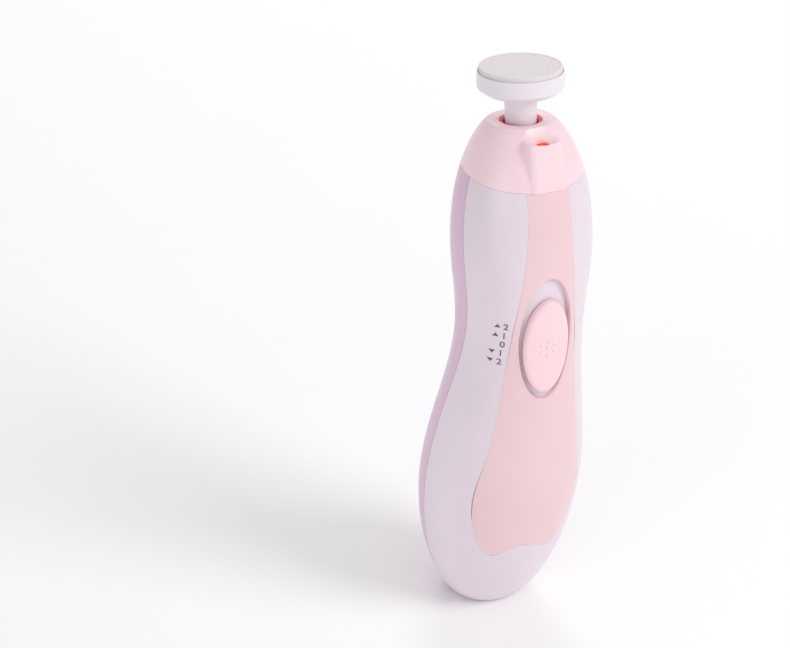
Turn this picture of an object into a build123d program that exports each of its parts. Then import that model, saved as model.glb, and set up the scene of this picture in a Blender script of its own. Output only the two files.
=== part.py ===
"""Hand-held electric nail and callus file, built as the separate pieces it comes apart into.

The handle stands on a small flat at its lower end, which is the origin. +Z runs up the handle, the
switch side faces -Y and +X is to the right of someone looking at the switch. A centre line runs
straight up from the base, bends back and runs straight again to the grinding head. A height is
always measured along that centre line, so every cross section and every piece on the drive shaft
is placed by its height alone. All sizes are in millimetres.
"""
import os
from collections import namedtuple
from math import atan2, cos, degrees, pi, radians, sin, sqrt, tan

from build123d import *

os.makedirs("parts", exist_ok=True)

# ---------------------------------------------------------------- handle outline
HEAD_TILT = 13.0            # degrees that the drive shaft leans back from the handle
BEND_START = 66.0           # height where the centre line starts to bend
BEND_LENGTH = 36.0          # centre line inside the bend
NOSE_TOP = 131.6            # height of the nose's upper rim
SECTION_FULLNESS = 0.60     # corner weight of a section; 0.55 draws an ellipse

Side = namedtuple("Side", "base belly belly_height dome waist waist_height shoulder "
                          "shoulder_height nose")
HALF_WIDTH = Side(base=7.0, belly=19.8, belly_height=37.0, dome=0.60, waist=15.6,
                  waist_height=80.0, shoulder=17.1, shoulder_height=102.0, nose=7.8)
FRONT_DEPTH = Side(base=6.5, belly=17.2, belly_height=44.0, dome=0.70, waist=14.6,
                   waist_height=82.0, shoulder=15.6, shoulder_height=104.0, nose=7.6)
BACK_DEPTH = Side(base=6.5, belly=18.8, belly_height=28.0, dome=0.72, waist=12.4,
                  waist_height=78.0, shoulder=14.5, shoulder_height=104.0, nose=7.6)
NOSE_POWER = 2.2            # how late the nose turns in
NOSE_ROUND = 0.74           # how round the nose ends

# ---------------------------------------------------------------- walls and gaps
WALL = 2.2                  # shells
PANEL_THICKNESS = 1.2       # front inlay
LIP_THICKNESS = 0.9         # tongue inside the seam, spigot under the nose
LIP_REACH = 1.4             # how far the tongue passes the seam
SEAM_GAP = 0.12             # visible line between two housings
FIT = 0.10                  # clearance between fixed neighbours
SLIDE_GAP = 0.35            # clearance over and under what slides
FLOOR = 2.2                 # closed wall at the handle's lower end

# ---------------------------------------------------------------- nose and drive
NOSE_SEAM = NOSE_TOP - 11.1  # height of the nose parting plane on the centre line
NOSE_SEAM_TILT = 10.2       # degrees, lower at the front
SPIGOT_LENGTH = 3.0
NOSE_HOLE_RADIUS = 5.0
NOSE_DISH_RADIUS = 7.0
NOSE_DISH_DEPTH = 0.2
LINER_WALL = 0.7
LINER_TOP = NOSE_TOP - 0.5
LINER_BOTTOM = NOSE_TOP - 5.4
LINER_FLANGE_RADIUS = 5.8
LINER_FLANGE = 1.4
LINER_ROOM = 6.0            # depth of the nose's hole

POD_HALF_WIDTH = 5.3        # work-light pod at its foot
POD_TOP_HALF_WIDTH = 4.8
POD_FRONT = 14.6            # depth in front of the shaft, at the foot
POD_TOP_FRONT = 12.8
POD_BACK = 7.4
POD_CORNER = 3.0
POD_BOTTOM = NOSE_TOP - 13.9
POD_TOP = NOSE_TOP - 2.2
LAMP_DEPTH = 10.9           # lamp axis in front of the shaft
LAMP_HOLE_RADIUS = 1.65
LAMP_HOLE_DEPTH = 3.2
LAMP_RADIUS = 1.3
LAMP_FLANGE_RADIUS = 1.6
LAMP_FLANGE = 1.0
LAMP_TOP = NOSE_TOP - 3.4
LAMP_LENGTH = 5.3
LAMP_LEG_LENGTH = 3.6
LAMP_LEG_RADIUS = 0.25
LAMP_LEG_SPACING = 1.0

MOTOR_RADIUS = 10.05
MOTOR_FLAT = 7.55           # half the thickness across the motor's flats
MOTOR_CAN_WALL = 0.6
MOTOR_FRONT = NOSE_TOP - 14.6   # height of the motor's front face
MOTOR_CAN_LENGTH = 20.5
MOTOR_BELL_LENGTH = 4.5
MOTOR_BOSS_RADIUS = 3.1
MOTOR_BOSS_LENGTH = 1.6
BELL_PLATE = 1.6
BELL_BOSS_LENGTH = 1.2
SHAFT_RADIUS = 1.0
SHAFT_CLEARANCE = 0.03
SHAFT_TOP = MOTOR_FRONT + 7.0
BUSHING_RADIUS = 2.2
BUSHING_LENGTH = 2.0
MAGNET_RADIUS = 9.3
MAGNET_THICKNESS = 2.1
MAGNET_HALF_HEIGHT = 6.2
CORE_RADIUS = 6.7
CORE_LENGTH = 10.0
CORE_BOTTOM = MOTOR_FRONT - 16.0
CORE_HUB_RADIUS = 2.3
CORE_ARM_WIDTH = 2.4
CORE_SHOE_THICKNESS = 1.2
CORE_SHOE_GAP = 1.6
CORE_TURN = 90.0            # direction of the first arm, in degrees
COIL_WIDTH = 6.6
COIL_OVERHANG = 1.3
COMMUTATOR_RADIUS = 2.4
COMMUTATOR_BOTTOM = MOTOR_FRONT - 22.6
COMMUTATOR_LENGTH = 4.0
COMMUTATOR_SLOT = 0.3
TERMINAL_SPACING = 6.5
TERMINAL_WIDTH = 2.0
TERMINAL_THICKNESS = 0.4
TERMINAL_LENGTH = 3.6
BRACKET_BOTTOM = MOTOR_FRONT - 6.0
BRACKET_RIM = 3.4
BRACKET_PLATE = 1.5
BRACKET_WALL = 1.1
BRACKET_SCREW_SPACING = 5.6
BRACKET_SCREW_RADIUS = 0.85
BRACKET_SCREW_HEAD = 1.5
BRACKET_SCREW_HEAD_HEIGHT = 0.8
DAMPER_BOTTOM = MOTOR_FRONT - 19.0
DAMPER_LENGTH = 5.0
LEAD_NOTCH_HALF_WIDTH = 2.6

COUPLER_BOTTOM = MOTOR_FRONT + 2.4
COUPLER_FLANGE = 2.0
COUPLER_FLANGE_RADIUS = 2.9
COUPLER_HEX_RADIUS = 2.2    # across corners
COUPLER_TOP = NOSE_TOP + 4.0
HEX_CLEARANCE = 0.06

# ---------------------------------------------------------------- grinding head
STEM_BOTTOM = NOSE_TOP - 5.2
STEM_BOTTOM_RADIUS = 3.6
STEM_TOP = NOSE_TOP + 6.0
STEM_TOP_RADIUS = 4.0
HOLDER_RADIUS = 10.4
HOLDER_UNDERSIDE_RADIUS = 8.6
HOLDER_UNDERSIDE = NOSE_TOP + 6.7
HOLDER_EDGE_BOTTOM = NOSE_TOP + 8.4
HOLDER_TOP = NOSE_TOP + 12.0
HOLDER_CHAMFER = 0.3
PAD_RADIUS = 9.9
PAD_RECESS = 0.8
PAD_THICKNESS = 1.9
PAD_EDGE = 0.3
PAD_BOTTOM = HOLDER_TOP - PAD_RECESS

# ---------------------------------------------------------------- switch side
BUTTON_HEIGHT = 80.3        # height of the thumb button's centre at rest
BUTTON_LENGTH = 24.4
BUTTON_WIDTH = 11.8
BUTTON_PROUD = 1.0
BUTTON_EDGE = 0.5
SWITCH_STEP = 1.7           # travel between two switch positions
STEPS_BELOW_REST = 1
STEPS_ABOVE_REST = 3
RECESS_END_GAP = 0.3        # beyond the button's travel at each end
RECESS_SIDE_GAP = 0.25      # beside the neck and the lever
RECESS_ROOM = 0.85          # of the oval recess round the button, on each side
DOT_RADIUS = 0.45
DOT_SPACING = 1.9
NECK_WIDTH = 5.0
NECK_LENGTH = 8.0
NECK_TOP = 0.2              # depth of the neck's top below the button's skin point
CARRIER_WIDTH = 9.0
CARRIER_LENGTH = 14.0
CARRIER_THICKNESS = 1.2
CARRIER_DEPTH = 3.7         # below the button's own surface
LEVER_WIDTH = 2.0
LEVER_LENGTH = 3.0
LEVER_GRIP = 0.8            # how far the lever stands in the carrier
LEVER_SLOT_DEPTH = 2.6
SWITCH_WIDTH = 8.4
SWITCH_LENGTH = 12.4
SWITCH_HEIGHT = 4.2
BOARD_DEPTH = 10.3
BOARD_THICKNESS = 1.2
BOARD_WIDTH = 16.0
BOARD_LENGTH = 29.5
BOARD_CENTRE = -5.25        # below the button's centre, along the slide
BOARD_POST_RADIUS = 1.4
BOARD_POST_X = 6.3
BOARD_POST_UP = 6.0
BOARD_POST_DOWN = -17.8
BOARD_SCREW_RADIUS = 0.7
BOARD_SCREW_HEAD = 1.3
BOARD_SCREW_HEAD_HEIGHT = 0.7
BOARD_SCREW_LENGTH = 3.0    # beyond the board
# parts on the back of the board: across, along the slide, width, length, height
CHIPS = [(0.0, -10.5, 5.0, 4.0, 1.1), (-4.6, -3.5, 2.4, 1.6, 0.8), (-4.6, -0.8, 2.4, 1.6, 0.8),
         (4.4, -4.0, 2.8, 3.0, 1.3), (4.8, 1.2, 1.6, 0.9, 0.5), (-0.6, -4.4, 1.6, 0.9, 0.5),
         (-0.6, -2.0, 1.6, 0.9, 0.5), (0.4, 2.2, 3.2, 2.4, 1.0)]

# front inlay: half widths at heights up the handle, then its two lobes
PANEL_TOP_HALF_WIDTH = 5.4
PANEL_SIDES = [(6.3, 104.0), (8.6, 83.0), (12.5, 50.0), (13.7, 32.0)]
PANEL_LOBE = (7.3, 21.0)
PANEL_NOTCH_HEIGHT = 23.4

# ---------------------------------------------------------------- battery
CELL_RADIUS = 5.25
CELL_LENGTH = 44.5
CELL_NUB_RADIUS = 1.9
CELL_NUB_LENGTH = 1.0
CELL_CLEARANCE = 0.15
CELL_PITCH = 11.1
CELL_Y = 3.5                # centre of the cells behind the centre line
TRAY_BOTTOM = 8.0
TRAY_WALL = 1.2
CONTACT_THICKNESS = 0.4
SPRING_LENGTH = 2.4         # with the cell in place
SPRING_RADIUS = 3.0
SPRING_WIRE_RADIUS = 0.3
SPRING_TURNS = 3.0
BUMP_HEIGHT = 0.6
TRAY_BACK = 1.0             # how far the tray's sides pass the middle of the cells
CELL_EDGE = 0.4
CONTACT_WIDTH = 7.6
TAB_WIDTH = 2.0
TAB_LENGTH = 3.2

DOOR_HALF_WIDTH = 11.4
DOOR_BOTTOM = 10.4
DOOR_TOP = 58.5
DOOR_CORNER = 5.0
DOOR_GAP = 0.25
DOOR_LEDGE = 1.2
HOOK_WIDTH = 2.8
HOOK_SPACING = 6.0
HOOK_REACH = 1.4            # below the door's lower edge
HOOK_THICKNESS = 1.0
HOOK_ROOT = 2.0
HOOK_Y = 10.5
GRIP_GROOVES = 3
GRIP_GROOVE_RADIUS = 0.45
GRIP_GROOVE_PITCH = 1.8
GRIP_GROOVE_LENGTH = 9.0
GRIP_GROOVE_DROP = 4.0      # from the door's upper edge

# ---------------------------------------------------------------- case screws
SCREW_X = 11.2
SCREW_LOW = 62.6
SCREW_HIGH = 86.8
SCREW_RADIUS = 1.0
SCREW_HEAD_RADIUS = 1.9
SCREW_HEAD_HEIGHT = 1.3
SCREW_SEAT = 5.6            # y of the head's underside
SCREW_TIP = -6.0
SCREW_BOSS_RADIUS = 2.7
SCREW_BORE_CLEARANCE = 0.2
SCREW_SLOT_LENGTH = 2.2
SCREW_SLOT_WIDTH = 0.5

# ---------------------------------------------------------------- leads
LEAD_RADIUS = 0.45
LEAD_BEND_SHARE = 0.45      # of the shorter run that an arc takes up
BATTERY_LEAD_X = 2.6        # where the battery leads meet the board
BATTERY_LEAD_ALONG = -13.9
BATTERY_LEAD_RISE = 3.8     # straight up from the tab
BATTERY_LEAD_OUT = 5.0      # straight out of the board
MOTOR_LEAD_X = 6.5
MOTOR_LEAD_ALONG = -0.5
MOTOR_LEAD_OUT = 4.2
MOTOR_LEAD_DROP = 4.4       # below the terminal
LAMP_LEAD_X = 1.0
LAMP_LEAD_ALONG = 8.7
LAMP_LEAD_OUT = 4.2
LAMP_LEAD_LOW = 21.0        # heights below the motor's front face, and depths before the shaft
LAMP_LEAD_LOW_DEPTH = 9.45
LAMP_LEAD_HIGH = 9.0
LAMP_LEAD_HIGH_DEPTH = 9.25

LONG = 200.0                # longer than the whole object, for cutting tools


# ---------------------------------------------------------------- placing by height
def bend_angle(height):
    """Degrees that the centre line leans back at a height."""
    share = min(max((height - BEND_START) / BEND_LENGTH, 0.0), 1.0)
    return HEAD_TILT * share


def station(height):
    """Plane square to the centre line at a height, with local y pointing back."""
    lean = radians(bend_angle(height))
    bend_radius = BEND_LENGTH / radians(HEAD_TILT)
    past_bend = max(height - BEND_START - BEND_LENGTH, 0.0)
    back = bend_radius * (1 - cos(lean)) + past_bend * sin(lean)
    up = min(height, BEND_START) + bend_radius * sin(lean) + past_bend * cos(lean)
    return Plane(origin=(0, back, up), x_dir=(1, 0, 0), z_dir=(0, sin(lean), cos(lean)))


BEND_END = BEND_START + BEND_LENGTH


def shaft_plane(height):
    """Plane square to the drive shaft, whose line runs on straight below the bend."""
    return station(BEND_END).offset(height - BEND_END)


def ease(share):
    """Smooth step from 0 to 1 with level ends."""
    share = min(max(share, 0.0), 1.0)
    return share * share * (3 - 2 * share)


def reach(side, height):
    """Distance from the centre line to the skin on one side, at a height."""
    if height <= side.belly_height:
        left = 1 - height / side.belly_height
        return side.base + (side.belly - side.base) * (1 - left * left) ** side.dome
    if height <= side.waist_height:
        share = (height - side.belly_height) / (side.waist_height - side.belly_height)
        return side.belly + (side.waist - side.belly) * ease(share)
    if height <= side.shoulder_height:
        share = (height - side.waist_height) / (side.shoulder_height - side.waist_height)
        return side.waist + (side.shoulder - side.waist) * ease(share)
    share = min((height - side.shoulder_height) / (NOSE_TOP - side.shoulder_height), 1.0)
    return side.nose + (side.shoulder - side.nose) * (1 - share ** NOSE_POWER) ** NOSE_ROUND


def inset_reach(side, height, inset):
    """The same distance for a surface that lies a wall thickness inside the skin."""
    step = 0.5
    low, high = max(height - step, 0.0), min(height + step, NOSE_TOP)
    slope = (reach(side, high) - reach(side, low)) / (high - low)
    return reach(side, height) - inset * sqrt(1 + slope * slope)


def section_heights(inset):
    """Heights of the cross sections that a body is lofted through."""
    bottom = max(inset, 0.0) * FLOOR / WALL
    top = NOSE_TOP - max(inset, 0.0)
    belly, shoulder = HALF_WIDTH.belly_height, HALF_WIDTH.shoulder_height
    dome = [bottom + (belly - bottom) * share for share in (0, 0.06, 0.17, 0.34, 0.55, 0.78)]
    grip = [belly + (shoulder - belly) * step / 6 for step in range(7)]
    nose = [shoulder + (top - shoulder) * share for share in (0.3, 0.55, 0.77, 0.92, 1)]
    return dome + grip + nose


def handle_form(inset):
    """The whole handle as one solid, lofted through sections of four smooth quarters each."""
    full = SECTION_FULLNESS
    with BuildPart() as form:
        for height in section_heights(inset):
            wide = inset_reach(HALF_WIDTH, height, inset)
            front = inset_reach(FRONT_DEPTH, height, inset)
            back = inset_reach(BACK_DEPTH, height, inset)
            with BuildSketch(station(height)):
                with BuildLine():
                    Bezier((wide, 0), (wide, full * back), (full * wide, back), (0, back))
                    Bezier((0, back), (-full * wide, back), (-wide, full * back), (-wide, 0))
                    Bezier((-wide, 0), (-wide, -full * front), (-full * wide, -front), (0, -front))
                    Bezier((0, -front), (full * wide, -front), (wide, -full * front), (wide, 0))
                make_face()
        loft()
    return form


# ---------------------------------------------------------------- shared forms
skin = handle_form(0.0)
button_skin = handle_form(-BUTTON_PROUD)
button_underside = handle_form(PANEL_THICKNESS - SLIDE_GAP)
panel_floor = handle_form(PANEL_THICKNESS)
ledge_form = handle_form(WALL / 2)
lip_pocket = handle_form(WALL - FIT)
cavity = handle_form(WALL)
inner_fit = handle_form(WALL + FIT)
lip_inside = handle_form(WALL + LIP_THICKNESS)
tongue_clear = handle_form(WALL + LIP_THICKNESS + FIT)
ledge_face = handle_form(WALL / 2 + DOOR_GAP)

nose_lean = radians(HEAD_TILT - NOSE_SEAM_TILT)
NOSE_PLANE = Plane(origin=shaft_plane(NOSE_SEAM).origin, x_dir=(1, 0, 0),
                   z_dir=(0, sin(nose_lean), cos(nose_lean)))


def seam_point(height, forward):
    """Point of the side seam: a distance in front of the centre line at a height."""
    place = station(height).from_local_coords((0, -forward, 0))
    return (place.Y, place.Z)


SEAM_POINTS = [seam_point(0.0, 0.0), seam_point(35.0, -2.0), seam_point(60.0, -0.6),
               seam_point(89.0, 3.2), seam_point(108.0, 2.7), seam_point(NOSE_TOP, 1.5)]


def seam_region(shift, facing):
    """Everything on one side of the seam, whose line is moved forward by a shift."""
    points = [(y - shift, z) for y, z in SEAM_POINTS]
    low, high = points[0], points[-1]
    with BuildPart() as region:
        with BuildSketch(Plane.YZ):
            with BuildLine():
                Spline(*points)
                Polyline(high, (high[0], LONG), (facing * LONG, LONG), (facing * LONG, -LONG),
                         (low[0], -LONG), low)
            make_face()
        extrude(amount=LONG / 2, both=True)
    return region


FRONT, BACK = -1, 1
front_region = seam_region(SEAM_GAP / 2, FRONT)
rear_region = seam_region(-SEAM_GAP / 2, BACK)

with BuildPart() as lip_band:
    add(seam_region(LIP_REACH, BACK).part)
    add(seam_region(-LIP_REACH, FRONT).part, mode=Mode.INTERSECT)

with BuildPart() as room_band:
    add(seam_region(LIP_REACH + FIT, BACK).part)
    add(seam_region(-LIP_REACH - FIT, FRONT).part, mode=Mode.INTERSECT)

# the tongue is rooted in the middle of the rear wall
with BuildPart() as tongue_root:
    add(lip_band.part)
    add(rear_region.part, mode=Mode.INTERSECT)
    add(ledge_form.part, mode=Mode.INTERSECT)

with BuildPart() as tongue_pocket:
    add(room_band.part)
    add(lip_pocket.part, mode=Mode.INTERSECT)

# ---------------------------------------------------------------- slide directions
button_foot = station(BUTTON_HEIGHT)
skin_low = station(BUTTON_HEIGHT - BUTTON_LENGTH / 2).from_local_coords(
    (0, -reach(FRONT_DEPTH, BUTTON_HEIGHT - BUTTON_LENGTH / 2), 0))
skin_high = station(BUTTON_HEIGHT + BUTTON_LENGTH / 2).from_local_coords(
    (0, -reach(FRONT_DEPTH, BUTTON_HEIGHT + BUTTON_LENGTH / 2), 0))
SLIDE_LEAN = degrees(atan2(skin_high.Y - skin_low.Y, skin_high.Z - skin_low.Z))
slide_lean = radians(SLIDE_LEAN)
SLIDE_PLANE = Plane(origin=button_foot.from_local_coords((0, -reach(FRONT_DEPTH, BUTTON_HEIGHT), 0)),
                    x_dir=(1, 0, 0), z_dir=(0, -cos(slide_lean), sin(slide_lean)))
SLIDE_AXIS = Axis(SLIDE_PLANE.origin, SLIDE_PLANE.z_dir)
SWITCH_CENTRE = SWITCH_STEP * (STEPS_ABOVE_REST - STEPS_BELOW_REST) / 2
SWITCH_TRAVEL = SWITCH_STEP * (STEPS_ABOVE_REST + STEPS_BELOW_REST)
RECESS_LENGTH = BUTTON_LENGTH + SWITCH_TRAVEL + RECESS_ROOM
RECESS_WIDTH = BUTTON_WIDTH + 2 * RECESS_ROOM
SLOT_LENGTH = NECK_LENGTH + SWITCH_TRAVEL + 2 * RECESS_END_GAP


def slide_plane(depth):
    """Plane of the sliding button, a depth below its skin point."""
    return SLIDE_PLANE.offset(-depth)


# ---------------------------------------------------------------- front inlay outline
def panel_outline(growth):
    """The inlay's outline seen from the front, cut through the whole handle."""
    nose_foot = shaft_plane(NOSE_TOP).origin.Z
    top = PANEL_TOP_HALF_WIDTH + growth
    sides = [(half + growth, height) for half, height in PANEL_SIDES]
    lobe, notch = (PANEL_LOBE[0], PANEL_LOBE[1] - growth), PANEL_NOTCH_HEIGHT - growth
    with BuildPart() as prism:
        with BuildSketch(Plane.XZ):
            with BuildLine():
                Line((0, nose_foot), (top, nose_foot))
                Spline((top, nose_foot), *sides, lobe, (0, notch), tangents=[(0, -1), (-1, 0)])
                mirror(about=Plane.YZ)
            make_face()
        extrude(amount=LONG / 2)
    return prism


with BuildPart() as panel_pocket:
    add(panel_outline(FIT / 2).part)
    add(skin.part, mode=Mode.INTERSECT)
    add(panel_floor.part, mode=Mode.SUBTRACT)

with BuildPart() as recess_prism:
    with BuildSketch(slide_plane(-BUTTON_PROUD * 3)):
        with Locations((0, SWITCH_CENTRE)):
            Ellipse(RECESS_WIDTH / 2, RECESS_LENGTH / 2)
    extrude(amount=-(BUTTON_PROUD * 3 + CARRIER_DEPTH + 2))


def pod_form(growth):
    """The work-light pod: a blunt rib on the front of the nose, narrower towards its top."""
    with BuildPart() as pod:
        for height, half, front in ((POD_BOTTOM - growth, POD_HALF_WIDTH, POD_FRONT),
                                    (POD_TOP, POD_TOP_HALF_WIDTH, POD_TOP_FRONT)):
            with BuildSketch(shaft_plane(height)) as outline:
                with Locations((0, -(front + POD_BACK) / 2)):
                    Rectangle(2 * (half + growth), front - POD_BACK + 2 * growth)
                fillet(outline.vertices().group_by(Axis.Y)[0], POD_CORNER)
        loft()
    return pod


def motor_outline(growth):
    """Cross section of the motor: a round cut by two flats."""
    with BuildSketch() as outline:
        Circle(MOTOR_RADIUS + growth)
        Rectangle(2 * (MOTOR_RADIUS + growth), 2 * (MOTOR_FLAT + growth), mode=Mode.INTERSECT)
    return outline.sketch


def door_prism(growth):
    """The battery door's outline seen from behind, cut through the back of the handle."""
    with BuildPart() as prism:
        with BuildSketch(Plane.XZ):
            with Locations((0, (DOOR_BOTTOM + DOOR_TOP) / 2)):
                RectangleRounded(2 * (DOOR_HALF_WIDTH + growth),
                                 DOOR_TOP - DOOR_BOTTOM + 2 * growth, DOOR_CORNER + growth)
        extrude(amount=-LONG / 4)
    return prism


# ---------------------------------------------------------------- screw and post places
SCREW_PLACES = [(side * SCREW_X, height) for side in (-1, 1) for height in (SCREW_LOW, SCREW_HIGH)]
POST_PLACES = [(side * BOARD_POST_X, rise) for side in (-1, 1)
               for rise in (BOARD_POST_UP, BOARD_POST_DOWN)]

# bosses run from behind the seam into the middle of the front wall
with BuildPart() as front_bosses:
    with BuildSketch(Plane.XZ.offset(-SCREW_SEAT)):
        with Locations(*SCREW_PLACES):
            Circle(SCREW_BOSS_RADIUS)
    extrude(amount=LONG / 4)
    add(front_region.part, mode=Mode.INTERSECT)
    with BuildSketch(slide_plane(BOARD_DEPTH)):
        with Locations(*POST_PLACES):
            Circle(BOARD_POST_RADIUS)
    extrude(amount=LONG / 4)
    add(ledge_form.part, mode=Mode.INTERSECT)

with BuildPart() as rear_bosses:
    with BuildSketch(Plane.XZ.offset(-SCREW_TIP)):
        with Locations(*SCREW_PLACES):
            Circle(SCREW_BOSS_RADIUS)
    extrude(amount=-LONG / 4)
    add(rear_region.part, mode=Mode.INTERSECT)
    add(ledge_form.part, mode=Mode.INTERSECT)

# the tongue inside the seam stops under the nose spigot and leaves room for the screw bosses
with BuildPart() as seam_tongue:
    add(lip_band.part)
    add(cavity.part, mode=Mode.INTERSECT)
    add(tongue_root.part)
    add(lip_inside.part, mode=Mode.SUBTRACT)
    split(bisect_by=NOSE_PLANE.offset(-SPIGOT_LENGTH - FIT), keep=Keep.BOTTOM)
    with BuildSketch(Plane.XZ.offset(-SCREW_SEAT)):
        with Locations(*SCREW_PLACES):
            Circle(SCREW_BOSS_RADIUS + FIT)
    extrude(amount=2 * SCREW_SEAT, mode=Mode.SUBTRACT)

# the room that the tongue takes up, kept free by the pieces inside the handle
with BuildPart() as tongue_room:
    add(room_band.part)
    add(cavity.part, mode=Mode.INTERSECT)
    add(tongue_clear.part, mode=Mode.SUBTRACT)

# ---------------------------------------------------------------- housings
with BuildPart() as front_shell:
    add(skin.part)
    add(cavity.part, mode=Mode.SUBTRACT)
    add(front_region.part, mode=Mode.INTERSECT)
    add(tongue_pocket.part, mode=Mode.SUBTRACT)
    add(front_bosses.part)
    split(bisect_by=NOSE_PLANE.offset(-SEAM_GAP), keep=Keep.BOTTOM)
    add(panel_pocket.part, mode=Mode.SUBTRACT)
    add(pod_form(FIT).part, mode=Mode.SUBTRACT)
    with BuildSketch(slide_plane(0)):
        with Locations((0, SWITCH_CENTRE)):
            Rectangle(NECK_WIDTH + 2 * RECESS_SIDE_GAP, SLOT_LENGTH)
    extrude(amount=-CARRIER_DEPTH, mode=Mode.SUBTRACT)
    with BuildSketch(Plane.XZ.offset(-SCREW_SEAT)):
        with Locations(*SCREW_PLACES):
            Circle(SCREW_RADIUS)
    extrude(amount=SCREW_SEAT - SCREW_TIP + FIT, mode=Mode.SUBTRACT)
    with BuildSketch(slide_plane(BOARD_DEPTH)):
        with Locations(*POST_PLACES):
            Circle(BOARD_SCREW_RADIUS)
    extrude(amount=BOARD_SCREW_LENGTH, mode=Mode.SUBTRACT)

with BuildPart() as door_step:
    add(door_prism(0.0).part)
    add(ledge_face.part, mode=Mode.SUBTRACT)

with BuildPart() as rear_shell:
    add(skin.part)
    add(cavity.part, mode=Mode.SUBTRACT)
    add(rear_region.part, mode=Mode.INTERSECT)
    add(seam_tongue.part)
    add(rear_bosses.part)
    split(bisect_by=NOSE_PLANE.offset(-SEAM_GAP), keep=Keep.BOTTOM)
    add(door_step.part, mode=Mode.SUBTRACT)
    add(door_prism(-DOOR_LEDGE).part, mode=Mode.SUBTRACT)
    with BuildSketch(Plane.XZ.offset(-SCREW_SEAT)):
        with Locations(*SCREW_PLACES):
            Circle(SCREW_HEAD_RADIUS + SCREW_BORE_CLEARANCE)
    extrude(amount=-LONG / 4, mode=Mode.SUBTRACT)
    with BuildSketch(Plane.XZ.offset(-SCREW_SEAT)):
        with Locations(*SCREW_PLACES):
            Circle(SCREW_RADIUS + SCREW_BORE_CLEARANCE)
    extrude(amount=LONG / 4, mode=Mode.SUBTRACT)

with BuildPart() as door_step_trim:
    add(ledge_form.part)
    add(door_prism(-DOOR_LEDGE - DOOR_GAP).part, mode=Mode.SUBTRACT)

with BuildPart() as door_hooks:
    with BuildSketch(Plane.YZ):
        with BuildLine():
            inner, outer = HOOK_Y - HOOK_THICKNESS, HOOK_Y
            root = DOOR_BOTTOM + DOOR_LEDGE + 2 * DOOR_GAP
            Polyline((inner, DOOR_BOTTOM - HOOK_REACH), (outer, DOOR_BOTTOM - HOOK_REACH),
                     (outer, root), (outer + LONG / 8, root), (outer + LONG / 8, root + HOOK_ROOT),
                     (inner, root + HOOK_ROOT), close=True)
        make_face()
    extrude(amount=HOOK_SPACING / 2 + HOOK_WIDTH / 2, both=True)
    with BuildSketch(Plane.YZ):
        Rectangle(LONG, LONG)
    extrude(amount=HOOK_SPACING / 2 - HOOK_WIDTH / 2, both=True, mode=Mode.SUBTRACT)
    add(ledge_form.part, mode=Mode.INTERSECT)

with BuildPart() as battery_door:
    add(skin.part)
    add(cavity.part, mode=Mode.SUBTRACT)
    add(door_prism(-DOOR_GAP).part, mode=Mode.INTERSECT)
    add(door_step_trim.part, mode=Mode.SUBTRACT)
    add(door_hooks.part)
    for step in range(GRIP_GROOVES):
        height = DOOR_TOP - GRIP_GROOVE_DROP - step * GRIP_GROOVE_PITCH
        with BuildSketch(Plane.YZ.offset(-GRIP_GROOVE_LENGTH / 2)):
            with Locations((reach(BACK_DEPTH, height), height)):
                Circle(GRIP_GROOVE_RADIUS)
        extrude(amount=GRIP_GROOVE_LENGTH, mode=Mode.SUBTRACT)

with BuildPart() as nose_spigot:
    add(inner_fit.part)
    split(bisect_by=NOSE_PLANE.offset(LIP_THICKNESS), keep=Keep.BOTTOM)
    split(bisect_by=NOSE_PLANE.offset(-SPIGOT_LENGTH), keep=Keep.TOP)

bracket_room = motor_outline(BRACKET_WALL + FIT)

with BuildPart() as nose_cap:
    add(skin.part)
    split(bisect_by=NOSE_PLANE, keep=Keep.TOP)
    add(nose_spigot.part)
    add(lip_inside.part, mode=Mode.SUBTRACT)
    add(pod_form(0.0).part)
    with BuildSketch(shaft_plane(BRACKET_BOTTOM)):
        add(bracket_room)
    extrude(amount=MOTOR_FRONT + BRACKET_PLATE + FIT - BRACKET_BOTTOM, mode=Mode.SUBTRACT)
    with BuildSketch(shaft_plane(NOSE_TOP)):
        Circle(NOSE_DISH_RADIUS)
    with BuildSketch(shaft_plane(NOSE_TOP - NOSE_DISH_DEPTH)):
        Circle(NOSE_HOLE_RADIUS + FIT)
    loft(mode=Mode.SUBTRACT)
    with BuildSketch(shaft_plane(NOSE_TOP)):
        Circle(NOSE_HOLE_RADIUS)
    extrude(amount=-LINER_ROOM, mode=Mode.SUBTRACT)
    with BuildSketch(shaft_plane(POD_TOP + 1)):
        with Locations((0, -LAMP_DEPTH)):
            Circle(LAMP_HOLE_RADIUS)
    extrude(amount=-LAMP_HOLE_DEPTH - 1, mode=Mode.SUBTRACT)
    with BuildSketch(shaft_plane(POD_TOP)):
        with Locations((0, -LAMP_DEPTH)):
            Circle(LAMP_RADIUS + FIT)
    extrude(amount=-LONG / 8, mode=Mode.SUBTRACT)
    with BuildSketch(shaft_plane(LAMP_TOP - LAMP_LENGTH + LAMP_FLANGE + FIT)):
        with Locations((0, -LAMP_DEPTH)):
            Circle(LAMP_FLANGE_RADIUS + FIT)
    extrude(amount=-LONG / 8, mode=Mode.SUBTRACT)

with BuildPart() as nose_liner:
    with BuildSketch(shaft_plane(LINER_BOTTOM)):
        Circle(LINER_FLANGE_RADIUS)
    extrude(amount=LINER_FLANGE)
    with BuildSketch(shaft_plane(LINER_BOTTOM)):
        Circle(NOSE_HOLE_RADIUS - FIT / 2)
    extrude(amount=LINER_TOP - LINER_BOTTOM)
    with BuildSketch(shaft_plane(LINER_BOTTOM)):
        Circle(NOSE_HOLE_RADIUS - LINER_WALL)
    extrude(amount=LINER_TOP - LINER_BOTTOM, mode=Mode.SUBTRACT)

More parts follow.
